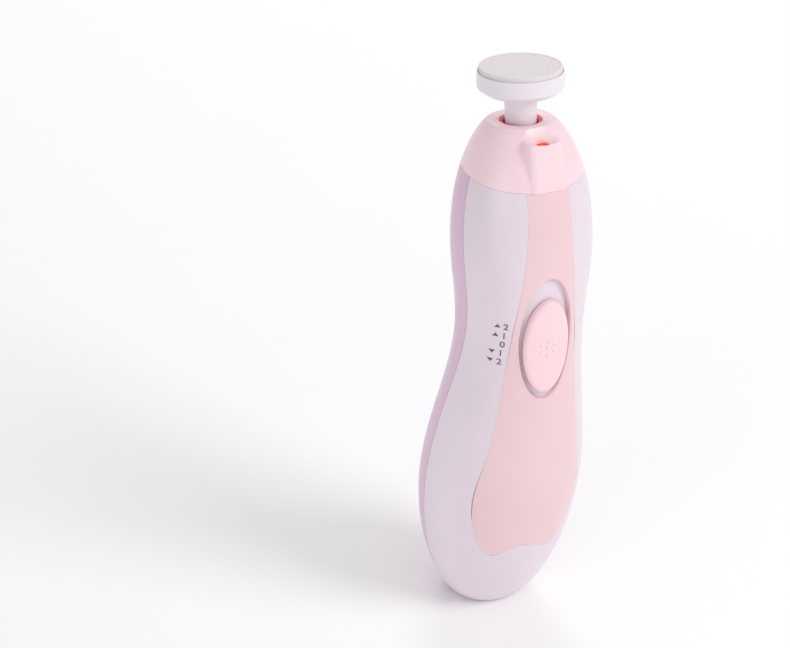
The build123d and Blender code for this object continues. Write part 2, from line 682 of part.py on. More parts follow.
with BuildPart() as front_panel:
    add(skin.part)
    add(panel_floor.part, mode=Mode.SUBTRACT)
    add(panel_outline(0.0).part, mode=Mode.INTERSECT)
    split(bisect_by=NOSE_PLANE.offset(-SEAM_GAP), keep=Keep.BOTTOM)
    add(recess_prism.part, mode=Mode.SUBTRACT)
    add(pod_form(FIT).part, mode=Mode.SUBTRACT)

# ---------------------------------------------------------------- switch slide
with BuildPart() as thumb_button:
    with BuildSketch(slide_plane(-3 * BUTTON_PROUD)):
        Ellipse(BUTTON_WIDTH / 2, BUTTON_LENGTH / 2)
    extrude(amount=-(3 * BUTTON_PROUD + CARRIER_DEPTH))
    add(button_skin.part, mode=Mode.INTERSECT)
    add(button_underside.part, mode=Mode.SUBTRACT)
    crown = thumb_button.faces().sort_by(SLIDE_AXIS)[-1]
    fillet(crown.edges(), BUTTON_EDGE)
    with BuildSketch(slide_plane(NECK_TOP - FIT / 2)):
        Rectangle(NECK_WIDTH + FIT, NECK_LENGTH + FIT)
    extrude(amount=-CARRIER_DEPTH, mode=Mode.SUBTRACT)
    with Locations(SLIDE_PLANE.offset(BUTTON_PROUD - DOT_RADIUS / 2)):
        Sphere(DOT_RADIUS)
        with PolarLocations(DOT_SPACING, 6):
            Sphere(DOT_RADIUS)

with BuildPart() as slider_carrier:
    with BuildSketch(slide_plane(NECK_TOP)):
        Rectangle(NECK_WIDTH, NECK_LENGTH)
    extrude(amount=-(CARRIER_DEPTH - NECK_TOP))
    with BuildSketch(slide_plane(CARRIER_DEPTH)):
        RectangleRounded(CARRIER_WIDTH, CARRIER_LENGTH, 1)
    extrude(amount=-CARRIER_THICKNESS)
    with BuildSketch(slide_plane(CARRIER_DEPTH + CARRIER_THICKNESS)):
        Rectangle(LEVER_WIDTH + FIT, LEVER_LENGTH + FIT)
    extrude(amount=LEVER_GRIP + FIT, mode=Mode.SUBTRACT)

with BuildPart() as switch_lever:
    with BuildSketch(slide_plane(CARRIER_DEPTH + CARRIER_THICKNESS - LEVER_GRIP)):
        Rectangle(LEVER_WIDTH, LEVER_LENGTH)
    extrude(amount=-(BOARD_DEPTH - SWITCH_HEIGHT + LEVER_SLOT_DEPTH - SLIDE_GAP
                     - CARRIER_DEPTH - CARRIER_THICKNESS + LEVER_GRIP))

with BuildPart() as switch_housing:
    with BuildSketch(slide_plane(BOARD_DEPTH)):
        with Locations((0, SWITCH_CENTRE)):
            Rectangle(SWITCH_WIDTH, SWITCH_LENGTH)
    extrude(amount=SWITCH_HEIGHT)
    with BuildSketch(slide_plane(BOARD_DEPTH - SWITCH_HEIGHT)):
        with Locations((0, SWITCH_CENTRE)):
            Rectangle(LEVER_WIDTH + 2 * RECESS_SIDE_GAP,
                      LEVER_LENGTH + SWITCH_TRAVEL + 2 * RECESS_END_GAP)
    extrude(amount=-LEVER_SLOT_DEPTH, mode=Mode.SUBTRACT)

with BuildPart() as circuit_board:
    with BuildSketch(slide_plane(BOARD_DEPTH)):
        with Locations((0, BOARD_CENTRE)):
            RectangleRounded(BOARD_WIDTH, BOARD_LENGTH, 1)
        with Locations(*POST_PLACES):
            Circle(BOARD_SCREW_RADIUS + FIT, mode=Mode.SUBTRACT)
    extrude(amount=-BOARD_THICKNESS)

with BuildPart() as board_components:
    for across, along, width, length, tall in CHIPS:
        with BuildSketch(slide_plane(BOARD_DEPTH + BOARD_THICKNESS)):
            with Locations((across, along)):
                Rectangle(width, length)
        extrude(amount=-tall)

with BuildPart() as board_screws:
    with BuildSketch(slide_plane(BOARD_DEPTH + BOARD_THICKNESS)):
        with Locations(*POST_PLACES):
            Circle(BOARD_SCREW_HEAD)
    extrude(amount=-BOARD_SCREW_HEAD_HEIGHT)
    with BuildSketch(slide_plane(BOARD_DEPTH + BOARD_THICKNESS)):
        with Locations(*POST_PLACES):
            Circle(BOARD_SCREW_RADIUS)
    extrude(amount=BOARD_THICKNESS + BOARD_SCREW_LENGTH)

# ---------------------------------------------------------------- battery
TRAY_FLOOR = TRAY_BOTTOM + TRAY_WALL
LEFT_CELL_BOTTOM = TRAY_FLOOR + CONTACT_THICKNESS + SPRING_LENGTH
TRAY_CEILING = LEFT_CELL_BOTTOM + CELL_LENGTH + BUMP_HEIGHT + CONTACT_THICKNESS
RIGHT_CELL_BOTTOM = TRAY_FLOOR + CONTACT_THICKNESS + BUMP_HEIGHT
LEFT_X, RIGHT_X = -CELL_PITCH / 2, CELL_PITCH / 2
CELL_BORE = CELL_RADIUS + CELL_CLEARANCE

with BuildPart() as battery_tray:
    with BuildSketch(Plane.XY.offset(TRAY_BOTTOM)):
        with Locations((0, CELL_Y + (TRAY_BACK - CELL_BORE - TRAY_WALL) / 2)):
            Rectangle(CELL_PITCH + 2 * (CELL_BORE + TRAY_WALL), TRAY_BACK + CELL_BORE + TRAY_WALL)
    extrude(amount=TRAY_CEILING + TRAY_WALL - TRAY_BOTTOM)
    add(inner_fit.part, mode=Mode.INTERSECT)
    add(tongue_room.part, mode=Mode.SUBTRACT)
    with BuildSketch(Plane.XY.offset(TRAY_FLOOR)):
        with Locations((LEFT_X, CELL_Y), (RIGHT_X, CELL_Y)):
            Circle(CELL_BORE)
        with Locations((0, CELL_Y + LONG / 8)):
            Rectangle(CELL_PITCH + 2 * CELL_BORE, LONG / 4)
    extrude(amount=TRAY_CEILING - TRAY_FLOOR, mode=Mode.SUBTRACT)
    with BuildSketch(Plane.XY.offset(TRAY_FLOOR)):
        with Locations((0, CELL_Y)):
            SlotOverall(CELL_PITCH + CONTACT_WIDTH + 2 * FIT, CONTACT_WIDTH + 2 * FIT)
    extrude(amount=CONTACT_THICKNESS + FIT, mode=Mode.SUBTRACT)
    with BuildSketch(Plane.XY.offset(TRAY_CEILING)):
        with Locations((LEFT_X, CELL_Y), (RIGHT_X, CELL_Y)):
            Rectangle(TAB_WIDTH + FIT, CONTACT_THICKNESS + FIT)
    extrude(amount=TRAY_WALL, mode=Mode.SUBTRACT)


def cell(x, bottom, nub_up):
    """One battery cell, with its nub at the top or at the bottom."""
    body_bottom = bottom if nub_up else bottom + CELL_NUB_LENGTH
    with BuildPart() as made:
        with BuildSketch(Plane.XY.offset(body_bottom)):
            with Locations((x, CELL_Y)):
                Circle(CELL_RADIUS)
        extrude(amount=CELL_LENGTH - CELL_NUB_LENGTH)
        fillet(made.edges().filter_by(GeomType.CIRCLE), CELL_EDGE)
        with BuildSketch(Plane.XY.offset(bottom if not nub_up else bottom + CELL_LENGTH / 2)):
            with Locations((x, CELL_Y)):
                Circle(CELL_NUB_RADIUS)
        extrude(amount=CELL_LENGTH / 2)
    return made


cell_left = cell(LEFT_X, LEFT_CELL_BOTTOM, True)
cell_right = cell(RIGHT_X, RIGHT_CELL_BOTTOM, False)

with BuildPart() as bridge_contact:
    with BuildSketch(Plane.XY.offset(TRAY_FLOOR)):
        with Locations((0, CELL_Y)):
            SlotOverall(CELL_PITCH + CONTACT_WIDTH, CONTACT_WIDTH)
    extrude(amount=CONTACT_THICKNESS)
    with BuildSketch(Plane.XY.offset(TRAY_FLOOR + CONTACT_THICKNESS)):
        with Locations((RIGHT_X, CELL_Y)):
            Circle(CELL_NUB_RADIUS)
    extrude(amount=BUMP_HEIGHT)


def top_contact(x):
    """Flat contact under the tray's ceiling with a solder tab that passes through it."""
    with BuildPart() as made:
        with BuildSketch(Plane.XY.offset(TRAY_CEILING - CONTACT_THICKNESS)):
            with Locations((x, CELL_Y)):
                Rectangle(CONTACT_WIDTH, CONTACT_WIDTH)
        extrude(amount=CONTACT_THICKNESS)
        with BuildSketch(Plane.XY.offset(TRAY_CEILING)):
            with Locations((x, CELL_Y)):
                Rectangle(TAB_WIDTH, CONTACT_THICKNESS)
        extrude(amount=TAB_LENGTH)
    return made


minus_contact = top_contact(RIGHT_X)
with BuildPart() as plus_contact:
    add(top_contact(LEFT_X).part)
    with BuildSketch(Plane.XY.offset(TRAY_CEILING - CONTACT_THICKNESS)):
        with Locations((LEFT_X, CELL_Y)):
            Circle(CELL_NUB_RADIUS)
    extrude(amount=-BUMP_HEIGHT)


def contact_spring(x, bottom):
    """Coil spring that fills the gap between a contact and the flat end of a cell."""
    with BuildPart() as made:
        with BuildLine():
            coil = Helix(pitch=(SPRING_LENGTH - 2 * SPRING_WIRE_RADIUS) / SPRING_TURNS,
                         height=SPRING_LENGTH - 2 * SPRING_WIRE_RADIUS, radius=SPRING_RADIUS,
                         center=(x, CELL_Y, bottom + SPRING_WIRE_RADIUS))
        with BuildSketch(Plane(origin=coil @ 0, z_dir=coil % 0)):
            Circle(SPRING_WIRE_RADIUS)
        sweep(is_frenet=True)
    return made


bridge_spring = contact_spring(LEFT_X, TRAY_FLOOR + CONTACT_THICKNESS)
minus_spring = contact_spring(RIGHT_X, TRAY_CEILING - CONTACT_THICKNESS - SPRING_LENGTH)

# ---------------------------------------------------------------- motor
CAN_BOTTOM = MOTOR_FRONT - MOTOR_CAN_LENGTH
BELL_BOTTOM = CAN_BOTTOM - MOTOR_BELL_LENGTH
MOTOR_TIP = MOTOR_FRONT + MOTOR_BOSS_LENGTH
MOTOR_HEEL = BELL_BOTTOM - BELL_BOSS_LENGTH
motor_section = motor_outline(0.0)
motor_hollow = motor_outline(-MOTOR_CAN_WALL)
motor_seat = motor_outline(FIT / 2)

with BuildPart() as motor_can:
    with BuildSketch(shaft_plane(CAN_BOTTOM)):
        add(motor_section)
    extrude(amount=MOTOR_CAN_LENGTH)
    with BuildSketch(shaft_plane(CAN_BOTTOM)):
        add(motor_hollow)
    extrude(amount=MOTOR_CAN_LENGTH - MOTOR_CAN_WALL, mode=Mode.SUBTRACT)
    with BuildSketch(shaft_plane(MOTOR_FRONT)):
        Circle(MOTOR_BOSS_RADIUS)
    extrude(amount=MOTOR_BOSS_LENGTH)
    with BuildSketch(shaft_plane(MOTOR_TIP)):
        Circle(BUSHING_RADIUS)
    extrude(amount=-MOTOR_BOSS_LENGTH - MOTOR_CAN_WALL, mode=Mode.SUBTRACT)
    with BuildSketch(shaft_plane(MOTOR_FRONT)):
        with Locations((-BRACKET_SCREW_SPACING, 0), (BRACKET_SCREW_SPACING, 0)):
            Circle(BRACKET_SCREW_RADIUS)
    extrude(amount=-MOTOR_CAN_WALL, mode=Mode.SUBTRACT)

with BuildPart() as motor_end_bell:
    with BuildSketch(shaft_plane(BELL_BOTTOM)):
        add(motor_section)
    extrude(amount=MOTOR_BELL_LENGTH)
    with BuildSketch(shaft_plane(CAN_BOTTOM)):
        add(motor_hollow)
    extrude(amount=-(MOTOR_BELL_LENGTH - BELL_PLATE), mode=Mode.SUBTRACT)
    with BuildSketch(shaft_plane(BELL_BOTTOM)):
        Circle(MOTOR_BOSS_RADIUS)
    extrude(amount=-BELL_BOSS_LENGTH)
    with BuildSketch(shaft_plane(MOTOR_HEEL)):
        Circle(BUSHING_RADIUS)
    extrude(amount=BELL_BOSS_LENGTH + BELL_PLATE, mode=Mode.SUBTRACT)

with BuildPart() as motor_terminals:
    with BuildSketch(shaft_plane(BELL_BOTTOM)):
        with Locations((-TERMINAL_SPACING, 0), (TERMINAL_SPACING, 0)):
            Rectangle(TERMINAL_WIDTH, TERMINAL_THICKNESS)
    extrude(amount=-TERMINAL_LENGTH)

with BuildPart() as motor_magnets:
    with BuildSketch(shaft_plane(CORE_BOTTOM)):
        Circle(MAGNET_RADIUS)
        Circle(MAGNET_RADIUS - MAGNET_THICKNESS, mode=Mode.SUBTRACT)
        Rectangle(LONG, 2 * MAGNET_HALF_HEIGHT, mode=Mode.INTERSECT)
    extrude(amount=CORE_LENGTH)

with BuildPart() as motor_bushings:
    for bottom in (MOTOR_TIP - BUSHING_LENGTH, MOTOR_HEEL):
        with BuildSketch(shaft_plane(bottom)):
            Circle(BUSHING_RADIUS)
            Circle(SHAFT_RADIUS + SHAFT_CLEARANCE, mode=Mode.SUBTRACT)
        extrude(amount=BUSHING_LENGTH)

with BuildPart() as motor_shaft:
    with BuildSketch(shaft_plane(MOTOR_HEEL)):
        Circle(SHAFT_RADIUS)
    extrude(amount=SHAFT_TOP - MOTOR_HEEL)

with BuildPart() as armature_core:
    with BuildSketch(shaft_plane(CORE_BOTTOM)):
        Circle(CORE_RADIUS)
    extrude(amount=CORE_LENGTH)
    slot_inner, slot_outer = CORE_HUB_RADIUS, CORE_RADIUS - CORE_SHOE_THICKNESS
    with BuildSketch(shaft_plane(CORE_BOTTOM)):
        Circle(slot_outer)
        Circle(slot_inner, mode=Mode.SUBTRACT)
        with PolarLocations(slot_outer / 2, 3, start_angle=CORE_TURN):
            Rectangle(slot_outer + CORE_SHOE_THICKNESS, CORE_ARM_WIDTH, mode=Mode.SUBTRACT)
    extrude(amount=CORE_LENGTH, mode=Mode.SUBTRACT)
    with BuildSketch(shaft_plane(CORE_BOTTOM)):
        with PolarLocations(CORE_RADIUS, 3, start_angle=CORE_TURN + 60):
            Rectangle(2 * CORE_SHOE_THICKNESS + FIT, CORE_SHOE_GAP)
    extrude(amount=CORE_LENGTH, mode=Mode.SUBTRACT)
    with BuildSketch(shaft_plane(CORE_BOTTOM)):
        Circle(SHAFT_RADIUS)
    extrude(amount=CORE_LENGTH, mode=Mode.SUBTRACT)

with BuildPart() as armature_windings:
    coil_inner = CORE_HUB_RADIUS + FIT
    coil_outer = CORE_RADIUS - CORE_SHOE_THICKNESS - FIT
    with BuildSketch(shaft_plane(CORE_BOTTOM - COIL_OVERHANG)):
        with PolarLocations((coil_inner + coil_outer) / 2, 3, start_angle=CORE_TURN):
            Rectangle(coil_outer - coil_inner, COIL_WIDTH)
        Circle(coil_outer, mode=Mode.INTERSECT)
        Circle(coil_inner, mode=Mode.SUBTRACT)
    extrude(amount=CORE_LENGTH + 2 * COIL_OVERHANG)
    add(armature_core.part, mode=Mode.SUBTRACT)

with BuildPart() as commutator:
    with BuildSketch(shaft_plane(COMMUTATOR_BOTTOM)):
        Circle(COMMUTATOR_RADIUS)
        Circle(SHAFT_RADIUS, mode=Mode.SUBTRACT)
        with PolarLocations(COMMUTATOR_RADIUS, 3):
            Rectangle(COMMUTATOR_RADIUS - SHAFT_RADIUS, COMMUTATOR_SLOT, mode=Mode.SUBTRACT)
    extrude(amount=COMMUTATOR_LENGTH)

with BuildPart() as motor_bracket:
    with BuildSketch(shaft_plane(BRACKET_BOTTOM)):
        Circle(LONG / 4)
    extrude(amount=BRACKET_RIM)
    add(inner_fit.part, mode=Mode.INTERSECT)
    add(tongue_room.part, mode=Mode.SUBTRACT)
    with BuildSketch(shaft_plane(BRACKET_BOTTOM)):
        add(motor_outline(BRACKET_WALL))
    extrude(amount=MOTOR_FRONT + BRACKET_PLATE - BRACKET_BOTTOM)
    with BuildSketch(shaft_plane(BRACKET_BOTTOM)):
        add(motor_seat)
    extrude(amount=MOTOR_FRONT - BRACKET_BOTTOM, mode=Mode.SUBTRACT)
    with BuildSketch(shaft_plane(MOTOR_FRONT)):
        Circle(MOTOR_BOSS_RADIUS + FIT)
        with Locations((-BRACKET_SCREW_SPACING, 0), (BRACKET_SCREW_SPACING, 0)):
            Circle(BRACKET_SCREW_RADIUS + FIT)
    extrude(amount=BRACKET_PLATE, mode=Mode.SUBTRACT)
    with BuildSketch(shaft_plane(BRACKET_BOTTOM)):
        with Locations((0, -MOTOR_FLAT - BRACKET_WALL - LONG / 8)):
            Rectangle(2 * LEAD_NOTCH_HALF_WIDTH, LONG / 4)
    extrude(amount=BRACKET_RIM, mode=Mode.SUBTRACT)

with BuildPart() as bracket_screws:
    with BuildSketch(shaft_plane(MOTOR_FRONT + BRACKET_PLATE)):
        with Locations((-BRACKET_SCREW_SPACING, 0), (BRACKET_SCREW_SPACING, 0)):
            Circle(BRACKET_SCREW_HEAD)
    extrude(amount=BRACKET_SCREW_HEAD_HEIGHT)
    with BuildSketch(shaft_plane(MOTOR_FRONT + BRACKET_PLATE)):
        with Locations((-BRACKET_SCREW_SPACING, 0), (BRACKET_SCREW_SPACING, 0)):
            Circle(BRACKET_SCREW_RADIUS)
    extrude(amount=-BRACKET_PLATE - MOTOR_CAN_WALL)

with BuildPart() as motor_damper:
    with BuildSketch(shaft_plane(DAMPER_BOTTOM)):
        Circle(LONG / 4)
    extrude(amount=DAMPER_LENGTH)
    add(inner_fit.part, mode=Mode.INTERSECT)
    add(tongue_room.part, mode=Mode.SUBTRACT)
    with BuildSketch(shaft_plane(DAMPER_BOTTOM)):
        add(motor_seat)
        with Locations((0, -MOTOR_FLAT - BRACKET_WALL - LONG / 8)):
            Rectangle(2 * LEAD_NOTCH_HALF_WIDTH, LONG / 4)
    extrude(amount=DAMPER_LENGTH, mode=Mode.SUBTRACT)

with BuildPart() as drive_coupler:
    with BuildSketch(shaft_plane(COUPLER_BOTTOM)):
        Circle(COUPLER_FLANGE_RADIUS)
    extrude(amount=COUPLER_FLANGE)
    with BuildSketch(shaft_plane(COUPLER_BOTTOM)):
        RegularPolygon(COUPLER_HEX_RADIUS, 6)
    extrude(amount=COUPLER_TOP - COUPLER_BOTTOM)
    with BuildSketch(shaft_plane(COUPLER_BOTTOM)):
        Circle(SHAFT_RADIUS)
    extrude(amount=SHAFT_TOP - COUPLER_BOTTOM, mode=Mode.SUBTRACT)

# ---------------------------------------------------------------- grinding head
HEAD_SIDE = Plane(origin=shaft_plane(0).origin, x_dir=(1, 0, 0),
                  z_dir=(0, -cos(radians(HEAD_TILT)), sin(radians(HEAD_TILT))))
SHAFT_AXIS = Axis(shaft_plane(0).origin, shaft_plane(0).z_dir)

with BuildPart() as head_base:
    with BuildSketch(HEAD_SIDE):
        with BuildLine():
            Polyline((0, STEM_BOTTOM), (STEM_BOTTOM_RADIUS, STEM_BOTTOM),
                     (STEM_TOP_RADIUS, STEM_TOP), (HOLDER_UNDERSIDE_RADIUS, HOLDER_UNDERSIDE),
                     (HOLDER_RADIUS, HOLDER_EDGE_BOTTOM),
                     (HOLDER_RADIUS, HOLDER_TOP - HOLDER_CHAMFER),
                     (HOLDER_RADIUS - HOLDER_CHAMFER, HOLDER_TOP),
                     (PAD_RADIUS + FIT / 2, HOLDER_TOP), (PAD_RADIUS + FIT / 2, PAD_BOTTOM),
                     (0, PAD_BOTTOM), close=True)
        make_face()
    revolve(axis=SHAFT_AXIS)
    with BuildSketch(shaft_plane(STEM_BOTTOM)):
        RegularPolygon(COUPLER_HEX_RADIUS + HEX_CLEARANCE, 6)
    extrude(amount=COUPLER_TOP - STEM_BOTTOM + SLIDE_GAP, mode=Mode.SUBTRACT)

with BuildPart() as sanding_pad:
    with BuildSketch(shaft_plane(PAD_BOTTOM)):
        Circle(PAD_RADIUS)
    extrude(amount=PAD_THICKNESS)
    fillet(sanding_pad.faces().sort_by(SHAFT_AXIS)[-1].edges(), PAD_EDGE)

# ---------------------------------------------------------------- work light
with BuildPart() as lamp:
    with BuildSketch(shaft_plane(LAMP_TOP - LAMP_LENGTH)):
        with Locations((0, -LAMP_DEPTH)):
            Circle(LAMP_FLANGE_RADIUS)
    extrude(amount=LAMP_FLANGE)
    with BuildSketch(shaft_plane(LAMP_TOP - LAMP_LENGTH)):
        with Locations((0, -LAMP_DEPTH)):
            Circle(LAMP_RADIUS)
    extrude(amount=LAMP_LENGTH - LAMP_RADIUS)
    with Locations(shaft_plane(LAMP_TOP - LAMP_RADIUS)):
        with Locations((0, -LAMP_DEPTH, 0)):
            Sphere(LAMP_RADIUS)

with BuildPart() as lamp_legs:
    with BuildSketch(shaft_plane(LAMP_TOP - LAMP_LENGTH)):
        with Locations((-LAMP_LEG_SPACING, -LAMP_DEPTH), (LAMP_LEG_SPACING, -LAMP_DEPTH)):
            Circle(LAMP_LEG_RADIUS)
    extrude(amount=-LAMP_LEG_LENGTH)

# ---------------------------------------------------------------- leads
def lead(name, points):
    """Insulated wire along straight runs joined by arcs, each as large as its two runs allow."""
    points = [Vector(*point) for point in points]
    runs = [after - before for before, after in zip(points, points[1:])]
    turns = [radians(one.get_angle(other)) for one, other in zip(runs, runs[1:])]
    radii = [LEAD_BEND_SHARE * min(one.length, other.length) / tan(turn / 2)
             for one, other, turn in zip(runs, runs[1:], turns)]
    with BuildPart() as made:
        with BuildLine() as route:
            FilletPolyline(*points, radius=radii)
        with BuildSketch(Plane(origin=points[0], z_dir=runs[0])):
            Circle(LEAD_RADIUS)
        sweep()
    length = route.wire().length
    share = made.part.volume / (pi * LEAD_RADIUS ** 2 * length)
    print(f"{name}: {length:.1f} mm long, radii {[round(radius, 1) for radius in radii]}, "
          f"volume {share:.3f} of section times length")
    return made


def on_board(side, across, along, out):
    """Point out from the board's front (1) or back (-1) face."""
    depth = BOARD_DEPTH - out if side > 0 else BOARD_DEPTH + BOARD_THICKNESS + out
    return slide_plane(depth).from_local_coords((across, along, 0))


def battery_lead(name, side):
    """Lead from a battery contact's tab to the back of the board."""
    tab = (side * CELL_PITCH / 2, CELL_Y, TRAY_CEILING + TAB_LENGTH)
    foot = (side * BATTERY_LEAD_X, BATTERY_LEAD_ALONG)
    return lead(name, [tab, (tab[0], tab[1], tab[2] + BATTERY_LEAD_RISE),
                       on_board(-1, *foot, BATTERY_LEAD_OUT), on_board(-1, *foot, 0)])


def motor_lead(name, side):
    """Lead from the back of the board to one of the motor's terminals."""
    end = BELL_BOTTOM - TERMINAL_LENGTH
    foot = (side * MOTOR_LEAD_X, MOTOR_LEAD_ALONG)
    terminal = (side * TERMINAL_SPACING, 0, 0)
    return lead(name, [on_board(-1, *foot, 0), on_board(-1, *foot, MOTOR_LEAD_OUT),
                       shaft_plane(end - MOTOR_LEAD_DROP).from_local_coords(terminal),
                       shaft_plane(end).from_local_coords(terminal)])


def lamp_lead(name, side):
    """Lead from the board's upper end, past the motor in its notch, to a leg of the lamp."""
    foot = (side * LAMP_LEAD_X, LAMP_LEAD_ALONG)
    low = shaft_plane(MOTOR_FRONT - LAMP_LEAD_LOW).from_local_coords(
        (side * LAMP_LEAD_X, -LAMP_LEAD_LOW_DEPTH, 0))
    high = shaft_plane(MOTOR_FRONT - LAMP_LEAD_HIGH).from_local_coords(
        (side * LAMP_LEAD_X, -LAMP_LEAD_HIGH_DEPTH, 0))
    leg = shaft_plane(LAMP_TOP - LAMP_LENGTH - LAMP_LEG_LENGTH).from_local_coords(
        (side * LAMP_LEG_SPACING, -LAMP_DEPTH, 0))
    return lead(name, [on_board(1, *foot, 0), on_board(1, *foot, LAMP_LEAD_OUT), low, high, leg])


plus_lead = battery_lead("plus_lead", -1)
minus_lead = battery_lead("minus_lead", 1)
motor_lead_left = motor_lead("motor_lead_left", -1)
motor_lead_right = motor_lead("motor_lead_right", 1)
lamp_lead_left = lamp_lead("lamp_lead_left", -1)
lamp_lead_right = lamp_lead("lamp_lead_right", 1)

# ---------------------------------------------------------------- case screws
with BuildPart() as case_screws:
    with BuildSketch(Plane.XZ.offset(-SCREW_SEAT)):
        with Locations(*SCREW_PLACES):
            Circle(SCREW_HEAD_RADIUS)
    extrude(amount=-SCREW_HEAD_HEIGHT)
    with BuildSketch(Plane.XZ.offset(-SCREW_SEAT)):
        with Locations(*SCREW_PLACES):
            Circle(SCREW_RADIUS)
    extrude(amount=SCREW_SEAT - SCREW_TIP)
    with BuildSketch(Plane.XZ.offset(-SCREW_SEAT - SCREW_HEAD_HEIGHT)):
        with Locations(*SCREW_PLACES):
            Rectangle(SCREW_SLOT_LENGTH, SCREW_SLOT_WIDTH)
            Rectangle(SCREW_SLOT_WIDTH, SCREW_SLOT_LENGTH)
    extrude(amount=SCREW_HEAD_HEIGHT / 2, mode=Mode.SUBTRACT)

# ---------------------------------------------------------------- writing the pieces
PIECES = {
    "front_shell": front_shell, "rear_shell": rear_shell, "nose_cap": nose_cap,
    "nose_liner": nose_liner, "front_panel": front_panel, "battery_door": battery_door,
    "thumb_button": thumb_button, "slider_carrier": slider_carrier,
    "switch_lever": switch_lever, "switch_housing": switch_housing,
    "circuit_board": circuit_board, "board_components": board_components,
    "board_screws": board_screws, "battery_tray": battery_tray, "cell_left": cell_left,
    "cell_right": cell_right, "bridge_contact": bridge_contact,
    "bridge_spring": bridge_spring, "plus_contact": plus_contact,
    "minus_contact": minus_contact, "minus_spring": minus_spring, "motor_can": motor_can,
    "motor_end_bell": motor_end_bell, "motor_terminals": motor_terminals,
    "motor_magnets": motor_magnets, "motor_bushings": motor_bushings,
    "motor_shaft": motor_shaft, "armature_core": armature_core,
    "armature_windings": armature_windings, "commutator": commutator,
    "motor_bracket": motor_bracket, "bracket_screws": bracket_screws,
    "motor_damper": motor_damper, "drive_coupler": drive_coupler, "head_base": head_base,
    "sanding_pad": sanding_pad, "lamp": lamp, "lamp_legs": lamp_legs,
    "case_screws": case_screws, "plus_lead": plus_lead, "minus_lead": minus_lead,
    "motor_lead_left": motor_lead_left, "motor_lead_right": motor_lead_right,
    "lamp_lead_left": lamp_lead_left, "lamp_lead_right": lamp_lead_right,
}
for name, piece in PIECES.items():
    piece.part.label = name
    export_step(piece.part, f"parts/{name}.step")
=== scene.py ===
"""Looks of the hand-held electric nail and callus file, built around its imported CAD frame.

The nose hood, inlay panel, thumb pad, grinding head, work light and position marks are surfaces
worked out here from the same outline formulas as the handle. The other pieces are the frame's own
and get their finishes here. Sizes in this file are in millimetres until a mesh is made.
"""
import math

import bmesh
import bpy
import numpy as np
from bpy.props import FloatProperty, FloatVectorProperty, PointerProperty
from mathutils import Matrix, Vector


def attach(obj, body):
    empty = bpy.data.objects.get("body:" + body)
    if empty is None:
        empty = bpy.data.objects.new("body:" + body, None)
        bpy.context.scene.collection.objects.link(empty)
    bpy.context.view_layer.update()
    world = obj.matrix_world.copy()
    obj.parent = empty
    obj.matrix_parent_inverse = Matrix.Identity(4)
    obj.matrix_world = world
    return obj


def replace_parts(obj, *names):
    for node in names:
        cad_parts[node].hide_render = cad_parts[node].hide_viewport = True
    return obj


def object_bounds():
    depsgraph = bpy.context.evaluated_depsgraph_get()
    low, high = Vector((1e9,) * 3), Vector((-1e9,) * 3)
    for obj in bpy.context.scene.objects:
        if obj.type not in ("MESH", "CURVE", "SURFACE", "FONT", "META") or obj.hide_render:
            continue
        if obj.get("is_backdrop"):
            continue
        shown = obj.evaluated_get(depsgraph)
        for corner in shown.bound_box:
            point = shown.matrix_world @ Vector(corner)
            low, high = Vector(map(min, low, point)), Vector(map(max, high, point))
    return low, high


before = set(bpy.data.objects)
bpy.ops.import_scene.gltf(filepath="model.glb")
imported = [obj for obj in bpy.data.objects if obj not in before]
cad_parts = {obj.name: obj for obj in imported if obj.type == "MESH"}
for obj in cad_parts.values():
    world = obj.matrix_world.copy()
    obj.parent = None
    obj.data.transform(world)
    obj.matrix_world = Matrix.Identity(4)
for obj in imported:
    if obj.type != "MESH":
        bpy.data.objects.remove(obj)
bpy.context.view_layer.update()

bl_info = {
    "name": "Electric Callus File",
    "version": (1, 0, 0),
    "blender": (4, 5, 0),
    "location": "View3D > Sidebar > Callus File",
    "description": "Builds the visible pieces and finishes of a hand-held nail and callus file",
    "category": "Add Mesh",
}

MM = 0.001

# handle outline, as the housings have it
TILT = math.radians(13.0)
BEND_START, BEND_LENGTH, NOSE_TOP = 66.0, 36.0, 131.6
BEND_RADIUS = BEND_LENGTH / TILT
BEND_END = BEND_START + BEND_LENGTH
FULLNESS = 0.60
NOSE_POWER, NOSE_ROUND = 2.2, 0.74
# base, belly, belly height, dome power, waist, waist height, shoulder, shoulder height, nose
HALF_WIDTH = (7.0, 19.8, 37.0, 0.60, 15.6, 80.0, 17.1, 102.0, 7.8)
FRONT_DEPTH = (6.5, 17.2, 44.0, 0.70, 14.6, 82.0, 15.6, 104.0, 7.6)
BACK_DEPTH = (6.5, 18.8, 28.0, 0.72, 12.4, 78.0, 14.5, 104.0, 7.6)
LEFT, FRONT = 2.0, 3.0          # quarter turns round a section

# button and recess, lamp and pod, nose seam and hole, and the heights and radius of the disc head
BUTTON_HEIGHT, BUTTON_LENGTH, BUTTON_WIDTH = 80.3, 24.4, 11.8
SLIDE_CENTRE, RECESS_LENGTH, RECESS_WIDTH = 1.7, 32.05, 13.5
LAMP_DEPTH, LAMP_TOP, POD_TOP = 10.9, 128.2, 129.4
LAMP_HOLE, LAMP_RADIUS, LAMP_FLANGE = 1.65, 1.3, 1.6
SEAM_HEIGHT, SEAM_SLOPE = 120.5, math.tan(math.radians(10.2))
NOSE_HOLE = 5.05
HEAD_LOW, PAD_FOOT, PAD_TOP, PAD_RADIUS = 126.4, 142.8, 144.7, 9.9


# ---------------------------------------------------------------- formulas of the handle
def ease(share):
    """Smooth step: 3 s squared minus 2 s cubed, held between 0 and 1."""
    share = np.clip(share, 0.0, 1.0)
    return share * share * (3 - 2 * share)


